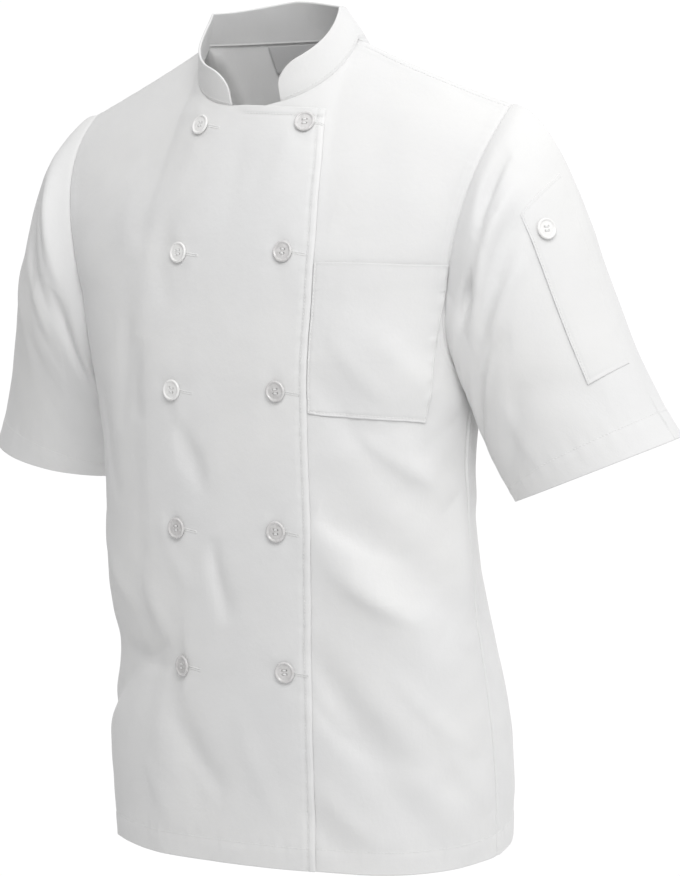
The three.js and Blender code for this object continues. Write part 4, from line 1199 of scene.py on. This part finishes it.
def stitch_row(surface, line, bag):
    along = along_line(line)
    count = int(along[-1] // STITCH_PITCH)
    start = (along[-1] - count * STITCH_PITCH) / 2
    for i in range(count):
        middle = start + (i + 0.5) * STITCH_PITCH
        ends = [at_length(line, along, middle + half * STITCH_LENGTH) for half in (-0.5, 0.5)]
        _, normal = surface.near((ends[0] + ends[1]) / 2)
        bag.append((ends[0] + normal * STITCH_LIFT, ends[1] + normal * STITCH_LIFT, normal))


def front_spot(surface, x, z):
    """The surface's point at a place seen from the front."""
    spot = np.array([x, FRONT_DEPTH, z])
    for _ in range(8):
        spot[1] = surface.near(spot)[0][1]
    return spot


def buttonhole(surface, start, end, bag):
    """Satin bars side by side on both sides of a slit, with a bar across each end."""
    line = np.array([surface.near(p)[0] for p in np.linspace(start, end, HOLE_POINTS)])
    along = along_line(line)
    spots = np.arange(0, along[-1], SATIN_PITCH)
    for s in spots:
        spot, normal = surface.near(at_length(line, along, s))
        across = unit(np.cross(normal, line[-1] - line[0]))
        reaches = [(SLIT_HALF, SATIN_REACH), (-SATIN_REACH, -SLIT_HALF)]
        if s in (spots[0], spots[-1]):
            reaches = [(-SATIN_REACH, SATIN_REACH)]
        for low, high in reaches:
            raised = spot + normal * SATIN_LIFT
            bag.append((raised + across * low, raised + across * high, normal))


def stitched(name, bag):
    starts, ends, ups = zip(*bag)
    vertices, faces = capsules(starts, ends, ups, STITCH_RADIUS)
    piece = mesh_object(name, vertices, faces, THREAD)
    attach(piece, "root")
    return piece


# The cloth panels
front_right = make_front("front_right", -1, OVERLAP_TOP, OVERLAP_LIFT)
front_left = make_front("front_left", 1, UNDERLAP_TOP, 0)
back = make_back()
sleeve_left = make_sleeve(
    "sleeve_left", 1, front_left, front_left.own, back, back.left, LEFT_SLEEVE_FOLDS
)
sleeve_right = make_sleeve(
    "sleeve_right", -1, front_right, front_right.own, back, back.right, RIGHT_SLEEVE_FOLDS
)
collar = make_collar(front_right, front_left, back)
PANELS = [front_right, front_left, back, sleeve_left, sleeve_right, collar]
share_seams(PANELS)
mark_sewn(PANELS)


def line_of(panel, ids):
    return panel.points[np.asarray(ids)]


LINES = {}
for key, panel, ids in (("right", front_right, front_right.own), ("left", front_left, front_left.own)):
    LINES[f"side_{key}"] = line_of(panel, ids[SIDE_AT, : NOTCH_AT + 1])
    LINES[f"shoulder_{key}"] = line_of(panel, ids[NECK_AT:ARM_AT + 1, TOP_AT])
    LINES[f"front_neck_{key}"] = line_of(panel, ids[FIRST_AT:NECK_AT + 1, TOP_AT])
for key, ids, front, front_ids in (
    ("right", back.right, front_right, front_right.own),
    ("left", back.left, front_left, front_left.own),
):
    on_front, on_back = armhole_ids(front_ids, ids)
    LINES[f"armhole_{key}"] = np.concatenate(
        [line_of(front, on_front), line_of(back, on_back), line_of(front, on_front[:1])]
    )
    LINES[f"back_neck_{key}"] = line_of(back, ids[: NECK_AT + 1, TOP_AT])
    LINES[f"hem_{key}"] = line_of(back, ids[:, 0])
    LINES[f"front_hem_{key}"] = line_of(front, front_ids[:, 0])
LINES["over_edge"] = line_of(front_right, front_right.over[-1, :])
LINES["over_top"] = line_of(front_right, front_right.over[:, TOP_AT])
LINES["over_hem"] = line_of(front_right, front_right.over[:, 0])


def seams_on(panel, seams, hems):
    """Relief of the seams and hems on a panel, and how calm the cloth is beside them."""
    height = np.zeros(len(panel.points))
    calm = np.ones(len(panel.points))
    for number, (name, banded, stitch) in enumerate(seams):
        distance, place = near_line(panel.points, resampled(LINES[name], 1), 22)
        height += seam_relief(distance, place, banded, stitch, number + 1)
        calm *= smooth(distance, 1, 16)
    for number, (line, stitch) in enumerate(hems):
        distance, place = near_line(panel.points, resampled(LINES[line], 1), 45)
        height += hem_relief(distance, place, stitch, number + 3)
    return height, calm


def body_creases(degrees, z):
    height = 0
    for a0, z0, a1, z1, *form in BODY_CREASES:
        x = turned(degrees, a0) * MM_PER_DEGREE
        height = height + crease_height(x, z, 0, z0, (a1 - a0) * MM_PER_DEGREE, z1, *form)
    return height


def sleeve_creases(creases, share, down):
    x, z = share * SLEEVE_ROUND_MM, down * SLEEVE_DOWN_MM
    height = 0
    for f0, w0, f1, w1, *form in creases:
        height = height + crease_height(
            x, z, f0 * SLEEVE_ROUND_MM, w0 * SLEEVE_DOWN_MM, f1 * SLEEVE_ROUND_MM, w1 * SLEEVE_DOWN_MM, *form
        )
    return height


def waves(points, cut):
    """Faint slack of the cloth, longer along the diagonal."""
    slant = np.stack([
        (cut[:, 0] + 0.8 * cut[:, 1]) * 0.55,
        (cut[:, 1] - 0.8 * cut[:, 0]) * 1.1,
        points[:, 1] * 0.2,
    ], -1)
    return 1.5 * rough(slant, 60, 1) + 0.6 * rough(slant, 26, 2)


SEAMS = {
    "front_right": (
        [("side_right", False, 0), ("shoulder_right", True, SEAM_STITCH), ("front_neck_right", False, 0),
         ("armhole_right", True, SEAM_STITCH)],
        [("front_hem_right", HEM_STITCH), ("over_hem", HEM_STITCH)],
    ),
    "front_left": (
        [("side_left", False, 0), ("shoulder_left", True, SEAM_STITCH), ("front_neck_left", False, 0),
         ("armhole_left", True, SEAM_STITCH)],
        [("front_hem_left", HEM_STITCH)],
    ),
    "back": (
        [("side_right", True, SEAM_STITCH), ("side_left", True, SEAM_STITCH),
         ("shoulder_right", False, 0), ("shoulder_left", False, 0),
         ("back_neck_right", False, 0), ("back_neck_left", False, 0),
         ("armhole_right", True, SEAM_STITCH), ("armhole_left", True, SEAM_STITCH)],
        [("hem_right", HEM_STITCH), ("hem_left", HEM_STITCH)],
    ),
    "sleeve_left": ([("armhole_left", False, 0)], []),
    "sleeve_right": ([("armhole_right", False, 0)], []),
}

for panel in (front_right, front_left, back):
    height, calm = seams_on(panel, *SEAMS[panel.name])
    degrees, _ = turn_of(panel.points)
    quiet = np.clip((CREASE_CALM[0] - panel.points[:, 2]) / CREASE_CALM[1], 0, 1)
    folds = body_creases(degrees, panel.points[:, 2]) * quiet
    height += (folds + waves(panel.points, panel.cut)) * calm
    panel.height = height
for panel, creases in ((sleeve_left, LEFT_SLEEVE_CREASES), (sleeve_right, RIGHT_SLEEVE_CREASES)):
    height, calm = seams_on(panel, *SEAMS[panel.name])
    round_at, down_at = panel.place[:, 0], panel.place[:, 1]
    folds = sleeve_creases(creases, round_at, down_at)
    height += (folds + waves(panel.points, panel.cut)) * calm
    from_cuff = (1 - down_at) * SLEEVE_DOWN_MM
    height += hem_relief(from_cuff, round_at * SLEEVE_ROUND_MM, CUFF_STITCH, 5)
    panel.height = height

# Buttons pull the cloth in, with short wrinkles round them
for number, (z, right, left) in enumerate(BUTTON_ROWS):
    for turn, x in enumerate((right, left)):
        dx, dz = front_right.points[:, 0] - x, front_right.points[:, 2] - z
        away = np.hypot(dx, dz)
        in_front = front_right.points[:, 1] < 0
        star = np.cos(3 * np.arctan2(dz, dx) + number + 2 * turn)
        dimple = -0.8 * bell(away, 12)
        wrinkle = 0.4 * star * bell(away - 15, 8)
        front_right.height += (dimple + wrinkle) * in_front

# The overlap's edge is a folded strip that lies down on the other front
distance, place = near_line(front_right.points, resampled(LINES["over_edge"], 1), 30)
strip = 0.75 * smooth(distance, 0.2, 1.6) * (1 - smooth(distance, 4.6, 6.4))
settle = -1.0 * bell(distance, 5) * (0.75 + 0.25 * pucker(place, 31, 2))
groove = -0.5 * bell(distance - EDGE_STITCH, 1.3)
gather = 0.3 * bell(distance - EDGE_STITCH, 6) * pucker(place, 12, 4)
front_right.height += strip + settle + groove + gather
distance, place = near_line(front_right.points, resampled(LINES["over_top"], 1), 30)
front_right.height += 0.4 * (1 - smooth(distance, 5, 8)) - 0.45 * bell(distance - TOP_STITCH, 1.3)

# The collar's seam, stitch lines and slight waves
distance, place = near_line(collar.points, resampled(np.concatenate([
    LINES["front_neck_right"], LINES["back_neck_right"][::-1],
    LINES["back_neck_left"], LINES["front_neck_left"][::-1],
]), 1), 45)
collar.height = -DITCH_DEPTH * bell(distance, DITCH_WIDTH)
collar.height += 0.6 * rough(collar.points, 30, 5) * smooth(distance, 2, 20)
collar.height += -0.25 * bell(distance - 4, 1.1)

for panel in PANELS:
    panel.outer = panel.points + panel.through * (panel.height / panel.turn)[:, None]

surfaces = {panel.name: Surface(panel) for panel in PANELS}

for panel in PANELS:
    piece = shell(panel, f"{panel.name}_cloth", TWILL, bead=0.45 if panel is not collar else 0.9)
    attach(piece, "root")
    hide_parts(panel.name)


# Patches


def grid_values(panel, ids, values, i, j):
    """Values of a panel's grid at fractional places."""
    i0 = np.clip(np.floor(i).astype(int), 0, ids.shape[0] - 2)
    j0 = np.clip(np.floor(j).astype(int), 0, ids.shape[1] - 2)
    s, t = (i - i0)[..., None], (j - j0)[..., None]
    low = values[ids[i0, j0]] * (1 - s) + values[ids[i0 + 1, j0]] * s
    high = values[ids[i0, j0 + 1]] * (1 - s) + values[ids[i0 + 1, j0 + 1]] * s
    return low * (1 - t) + high * t


def make_patch(name, panel, ids, i, j, lie, wall, flip):
    """i and j are the fractional places of the patch's grid."""
    outer = grid_values(panel, ids, panel.outer, i, j)
    normals = unit(grid_values(panel, ids, cell_normals(panel.outer, panel.cells), i, j))
    cut = grid_values(panel, ids, panel.cut, i, j)
    patch = Panel(name, wall)
    points = outer + normals * lie[..., None]
    patch.ids = patch.add_grid(points, cut, np.zeros(points.shape[:2]))
    patch.add_cells(patch.ids, flip)
    patch.close()
    patch.outer = patch.points
    patch.through = patch.normals
    patch.turn = np.ones(len(patch.points))
    patch.sewn = np.zeros(len(patch.points), bool)
    return patch


def edge_steps(low, high, count):
    """Even steps with close ones at both ends."""
    steps = list(np.linspace(low, high, count))
    steps += [low + c for c in CLOSE_TO_EDGE] + [high - c for c in CLOSE_TO_EDGE]
    return np.array(sorted(set(steps)))


def row_at(panel, ids, column, z):
    """Fractional row of a column at a height."""
    heights = panel.points[ids[column, : TOP_AT + 1], 2]
    return float(np.interp(z, heights, np.arange(len(heights))))


def chest_pocket():
    ids = front_left.own
    middle = int(np.argmin(np.abs(HALF_COLUMNS - (NECK_END + 1))))
    j0, j_outer = (row_at(front_left, ids, middle, z) for z in CHEST_POCKET["bottom"])
    j1 = row_at(front_left, ids, middle, CHEST_POCKET["top"])
    k0 = OVERLAP_COLUMNS + CHEST_POCKET["edge_margin"]
    k1 = ARM_COLUMN - CHEST_POCKET["arm_margin"]
    i0, i1 = np.interp([k0, k1], HALF_COLUMNS, np.arange(len(HALF_COLUMNS)))
    i = edge_steps(i0, i1, 46)
    j = edge_steps(j0, j1, 54)
    gi, gj = np.meshgrid(i, j, indexing="ij")
    share_i, share_j = (gi - i0) / (i1 - i0), (gj - j0) / (j1 - j0)
    gj = gj + (j_outer - j0) * share_i * (1 - share_j)
    width, tall = CHEST_POCKET["size"]
    from_side = np.minimum(share_i, 1 - share_i) * width
    from_bottom = share_j * tall
    from_top = (1 - share_j) * tall
    swell = 1.6 * np.sin(math.pi * share_i) ** 0.8 * smooth(share_j, 0, 0.5) * (0.4 + 0.6 * share_j)
    edge = np.minimum(from_side, from_bottom)
    lie = LIE_GAP + TRIM_CLOTH + swell
    lie = lie - 0.45 * bell(edge - 2.2, 1.0)
    place = np.where(from_side < from_bottom, gj * 3, gi * 3)
    lie = lie + 0.28 * bell(edge, 7) * pucker(place, 15, 3)
    outer_side = (1 - share_i) * width
    gather = bell(outer_side - 6, 6) * smooth(share_j, 0, 0.2)
    lie = lie + 0.8 * gather * np.maximum(pucker(gj * 3, 17, 1), -0.5)
    lie = lie + 0.3 * (1 - smooth(from_top, 0.5, 3))
    return make_patch("chest_pocket", front_left, ids, gi, gj, lie, TRIM_CLOTH, False)


def sleeve_pocket():
    panel = sleeve_left
    ids = np.vstack([panel.ids, panel.ids[:1]])
    share = np.append(panel.share, 1.0)
    i0, i1 = np.interp([SLEEVE_POCKET["back"], SLEEVE_POCKET["front"]], share, np.arange(len(share)))
    ends = [SLEEVE_POCKET["top"], SLEEVE_POCKET["bottom"]]
    j0, j1 = np.interp(ends, panel.down, np.arange(len(panel.down)))
    i = edge_steps(i0, i1, 26)
    j = edge_steps(j0, j1, 54)
    gi, gj = np.meshgrid(i, j, indexing="ij")
    share_i, share_j = (gi - i0) / (i1 - i0), (gj - j0) / (j1 - j0)
    width, tall = SLEEVE_POCKET["size"]
    from_side = np.minimum(share_i, 1 - share_i) * width
    from_end = np.minimum(1 - share_j, share_j) * tall
    edge = np.minimum(from_side, from_end)
    proud = smooth(share_i, 0.35, 0.85) * smooth(share_j, 0.0, 0.25)
    lie = TRIM_CLOTH + 0.08 + (LIE_GAP - 0.08) * proud
    lie = lie + 0.5 * np.sin(math.pi * share_i) * np.sin(math.pi * share_j)
    lie = lie - 0.4 * bell(edge - 2.4, 1.0) * (0.3 + 0.7 * proud)
    lie = lie + 0.2 * bell(edge, 6) * pucker(gj * 3, 14, 5)
    return make_patch("sleeve_pocket", panel, ids, gi, gj, lie, TRIM_CLOTH, False)


def neck_label():
    ids = np.vstack([back.right[:0:-1], back.left])
    centre = len(back.right) - 1
    top = back.points[back.left[:, TOP_AT], 0]
    reach = float(np.interp(LABEL["half_width"], top[: NECK_AT + 1], np.arange(NECK_AT + 1)))
    column = back.points[back.left[0]]
    depth = along_line(column[::-1])
    below = np.interp([LABEL["below"], LABEL["below"] + LABEL["height"]], depth, np.arange(len(depth)))
    j0, j1 = TOP_AT - below[1], TOP_AT - below[0]
    i = np.linspace(centre - reach, centre + reach, 44)
    j = np.linspace(j0, j1, 12)
    gi, gj = np.meshgrid(i, j, indexing="ij")
    share_i = (gi - i[0]) / (i[-1] - i[0])
    bow = 0.5 * np.sin(math.pi * share_i) * (1 - (gj - j0) / (j1 - j0))
    lie = -(CLOTH + LIE_GAP + 0.7 + bow)
    return make_patch("neck_label", back, ids, gi, gj, lie, 0.35, True)


patches = {}
for patch, material in ((chest_pocket(), TWILL), (sleeve_pocket(), TWILL), (neck_label(), LABEL_SATIN)):
    piece = shell(patch, f"{patch.name}_cloth", material, bead=0.25)
    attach(piece, "root")
    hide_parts(patch.name)
    patches[patch.name] = patch
    surfaces[patch.name] = Surface(patch)


# Stitching
def add_stitching():
    rows = {name: [] for name in surfaces}

    def offset(panel, line, distance, side):
        return offset_line(surfaces[panel], line, distance, side)

    for key, panel, side in (("right", "front_right", 1), ("left", "front_left", -1)):
        armhole = LINES[f"armhole_{key}"]
        front_part = armhole[: (TOP_AT - NOTCH_AT) + (SIDE_AT - ARM_AT) + 1]
        back_part = armhole[(TOP_AT - NOTCH_AT) + (SIDE_AT - ARM_AT):]
        stitch_row(surfaces[panel], offset(panel, front_part, SEAM_STITCH, -side), rows[panel])
        stitch_row(surfaces["back"], offset("back", back_part, SEAM_STITCH, -side), rows["back"])
        shoulder = LINES[f"shoulder_{key}"]
        stitch_row(surfaces[panel], offset(panel, shoulder, SEAM_STITCH, side), rows[panel])
        seam = LINES[f"side_{key}"]
        stitch_row(surfaces["back"], offset("back", seam, SEAM_STITCH, -side), rows["back"])
        hem = LINES[f"front_hem_{key}"]
        stitch_row(surfaces[panel], offset(panel, hem, HEM_STITCH, -side), rows[panel])
        hem = LINES[f"hem_{key}"]
        stitch_row(surfaces["back"], offset("back", hem, HEM_STITCH, side), rows["back"])
    edge = LINES["over_edge"]
    stitch_row(surfaces["front_right"], offset("front_right", edge, EDGE_STITCH, 1), rows["front_right"])
    top = LINES["over_top"]
    stitch_row(surfaces["front_right"], offset("front_right", top, TOP_STITCH, -1), rows["front_right"])
    hem = LINES["over_hem"]
    stitch_row(surfaces["front_right"], offset("front_right", hem, HEM_STITCH, 1), rows["front_right"])
    for panel in (sleeve_left, sleeve_right):
        at = int(np.argmin(np.abs((1 - panel.down) * SLEEVE_DOWN_MM - CUFF_STITCH)))
        line = panel.outer[np.append(panel.ids[:, at], panel.ids[0, at])]
        stitch_row(surfaces[panel.name], resampled(line, 1.5), rows[panel.name])
    line = collar.outer[collar.ids[:, 4]]
    stitch_row(surfaces["collar"], resampled(line, 1.5), rows["collar"])
    face = surfaces["front_right"]
    for z, right, left in BUTTON_ROWS:
        for x in (left, right):
            start = front_spot(face, x + HOLE_START, z)
            end = front_spot(face, x + HOLE_END, z - HOLE_DROP)
            buttonhole(face, start, end, rows["front_right"])
    for name, low_i, low_j in (("chest_pocket", 3, 3), ("sleeve_pocket", 3, 3)):
        patch = patches[name]
        ids = patch.ids
        columns, last = ids[:, low_j], ids.shape[0] - 1
        down = patch.outer[ids[low_i, :]]
        up = patch.outer[ids[last - low_i, :]]
        bottom = patch.outer[columns]
        for line in (down, up, bottom) if name == "chest_pocket" else (up, bottom):
            stitch_row(surfaces[name], resampled(line, 1.5), rows[name])
    return rows


stitching = {
    name: stitched(f"{name}_stitching", bag) for name, bag in add_stitching().items() if bag
}


# Buttons
def button_mesh():
    """Sew-through button with a raised rim, a dished middle and four holes, lying on z = 0."""
    segments = 72
    profile = [(0, 0), (5, 0), (7.4, 0.05), (8.6, 0.45), (9.3, 1.1), (9.5, 1.75), (9.35, 2.45)]
    profile += [(8.95, 2.95), (8.4, 3.18), (7.85, 3.1), (7.4, 2.8), (7.05, 2.45), (6.75, 2.26)]
    dish = BUTTON_THICK - BUTTON_DISH
    inner = [(r, dish + 0.02 * (6.5 - r)) for r in np.arange(6.5, 0.1, -0.28)]
    profile += inner
    angle = 2 * math.pi * np.arange(segments) / segments
    vertices, faces = [(0.0, 0.0, 0.0)], []
    rings = []
    for r, z in profile[1:]:
        ring = []
        for a in angle:
            x, y = r * math.cos(a), r * math.sin(a)
            drop = 0.0
            if r < 6:
                gap = math.hypot(abs(x) - HOLE_OFFSET, abs(y) - HOLE_OFFSET)
                drop = HOLE_DEPTH * (1 - smooth(np.float64(gap), HOLE_RADIUS - 0.25, HOLE_RADIUS + 0.1))
            ring.append(len(vertices))
            vertices.append((x, y, z - float(drop)))
        rings.append(ring)
    centre = len(vertices)
    vertices.append((0.0, 0.0, dish + 0.12))
    for s in range(segments):
        t = (s + 1) % segments
        faces.append((0, rings[0][t], rings[0][s]))
        for low, high in zip(rings[:-1], rings[1:]):
            faces.append((low[s], low[t], high[t], high[s]))
        faces.append((rings[-1][s], rings[-1][t], centre))
    return np.array(vertices), faces


BUTTON_VERTICES, BUTTON_FACES = button_mesh()


def button_frame(spot, out, roll):
    out = Vector(out).normalized()
    right = Vector((0, 0, 1)).cross(out).normalized()
    up = out.cross(right)
    turn = Matrix.Rotation(roll, 3, out)
    right, up = turn @ right, turn @ up
    return np.array(spot), np.array(right), np.array(up), np.array(out)


def placed(vertices, place):
    spot, right, up, out = place
    return spot + vertices[:, :1] * right + vertices[:, 1:2] * up + vertices[:, 2:3] * out


def button_thread(place):
    """Two bars of thread across the four holes."""
    spot, right, up, out = place
    dish = BUTTON_THICK - BUTTON_DISH
    bag = []
    for row in (-1, 1):
        for strand, lift in ((-0.42, 0), (-0.14, 0.16), (0.14, 0.16), (0.42, 0)):
            centre = spot + up * (row * HOLE_OFFSET + strand) + out * (dish + 0.22 + lift)
            reach = right * (HOLE_OFFSET + 0.15)
            bag.append((centre - reach, centre + reach, out))
    return bag


def add_button(name, surface, roll):
    low, high = (np.array(c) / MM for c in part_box(name))
    spot, _ = surface.near((low + high) / 2)
    around = [(0, 0, 0), (5, 0, 0), (-5, 0, 0), (0, 0, 5), (0, 0, -5)]
    normals = [surface.near(spot + np.array(step))[1] for step in around]
    out = unit(np.sum(normals, 0))
    place = button_frame(spot + out * 0.75, out, roll)
    # The buttons in shadow get the greyer copy of the button material: painted shade
    material = SHADED_BUTTON if name in SHADED_BUTTON_NAMES else WHITE_BUTTON
    piece = mesh_object(f"{name}_disc", placed(BUTTON_VERTICES, place), BUTTON_FACES, material)
    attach(piece, "root")
    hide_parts(name)
    starts, ends, ups = zip(*button_thread(place))
    vertices, faces = capsules(starts, ends, ups, 0.3, rise=1.6)
    thread = mesh_object(f"{name}_thread", vertices, faces, THREAD)
    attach(thread, "root")
    return place


# How the buttons are turned, in radians
ROLLS = [0.06, -0.1, 0.12, -0.05, 0.08]
ROLL_SHARE = {"right": -1.3, "left": 1}
for side, share in ROLL_SHARE.items():
    for row, roll in enumerate(ROLLS):
        add_button(f"button_{side}_{row + 1}", surfaces["front_right"], roll * share)
add_button("button_sleeve", surfaces["sleeve_pocket"], 0.1)


# Floor, light and camera
def add_floor():
    segments = 96
    angle = [2 * math.pi * i / segments for i in range(segments)]
    vertices = [(4 * math.cos(a), 4 * math.sin(a), -1.45) for a in angle]
    mesh = bpy.data.meshes.new("floor")
    mesh.from_pydata(vertices, [], [tuple(range(segments))])
    material, _, _ = new_material("floor_pale", (0.78, 0.78, 0.78), 0.9)
    mesh.materials.append(material)
    floor = bpy.data.objects.new("floor", mesh)
    scene.collection.objects.link(floor)


def add_light(name, place, aim, size, power):
    data = bpy.data.lights.new(name, "AREA")
    data.shape = "SQUARE"
    data.size = size
    data.energy = power
    lamp = bpy.data.objects.new(name, data)
    lamp.location = place
    lamp.rotation_euler = (Vector(aim) - Vector(place)).to_track_quat("-Z", "Y").to_euler()
    lamp.visible_camera = False
    scene.collection.objects.link(lamp)


def add_world():
    """White surround, dimmer low down and on the side away from the key light."""
    world = bpy.data.worlds.new("studio")
    scene.world = world
    world.use_nodes = True
    tree = world.node_tree
    background = tree.nodes["Background"]
    place = tree.nodes.new("ShaderNodeTexCoord")
    turn = tree.nodes.new("ShaderNodeVectorMath")
    turn.operation = "DOT_PRODUCT"
    turn.inputs[1].default_value = Vector((-0.55, -0.6, -1.0)).normalized()
    tree.links.new(place.outputs["Generated"], turn.inputs[0])
    shade = tree.nodes.new("ShaderNodeMapRange")
    shade.inputs["From Min"].default_value = -0.6
    shade.inputs["From Max"].default_value = 0.75
    shade.inputs["To Min"].default_value = 1.0
    shade.inputs["To Max"].default_value = 0.12
    tree.links.new(turn.outputs["Value"], shade.inputs["Value"])
    path = tree.nodes.new("ShaderNodeLightPath")
    backdrop = tree.nodes.new("ShaderNodeMix")
    backdrop.inputs[3].default_value = 1.03
    tree.links.new(path.outputs["Is Camera Ray"], backdrop.inputs[0])
    tree.links.new(shade.outputs["Result"], backdrop.inputs[2])
    tree.links.new(backdrop.outputs[0], background.inputs["Strength"])
    background.inputs["Color"].default_value = (1, 1, 1, 1)


add_floor()
add_world()
add_light("key", (0.95, -1.2, 0.75), (0, 0, -0.2), 0.9, 13.8)
add_light("neck", (0.02, -0.05, 0.32), (0, 0.06, 0), 0.15, 0.07)

back_way = Vector((
    math.sin(VIEW_AZIMUTH) * math.cos(VIEW_ELEVATION),
    -math.cos(VIEW_AZIMUTH) * math.cos(VIEW_ELEVATION),
    math.sin(VIEW_ELEVATION),
))
camera_data = bpy.data.cameras.new("camera")
camera_data.lens = LENS
camera_data.clip_end = 100
camera = bpy.data.objects.new("camera", camera_data)
camera.location = VIEW_TARGET + back_way * VIEW_DISTANCE
camera.rotation_euler = (-back_way).to_track_quat("-Z", "Y").to_euler()
scene.collection.objects.link(camera)
scene.camera = camera
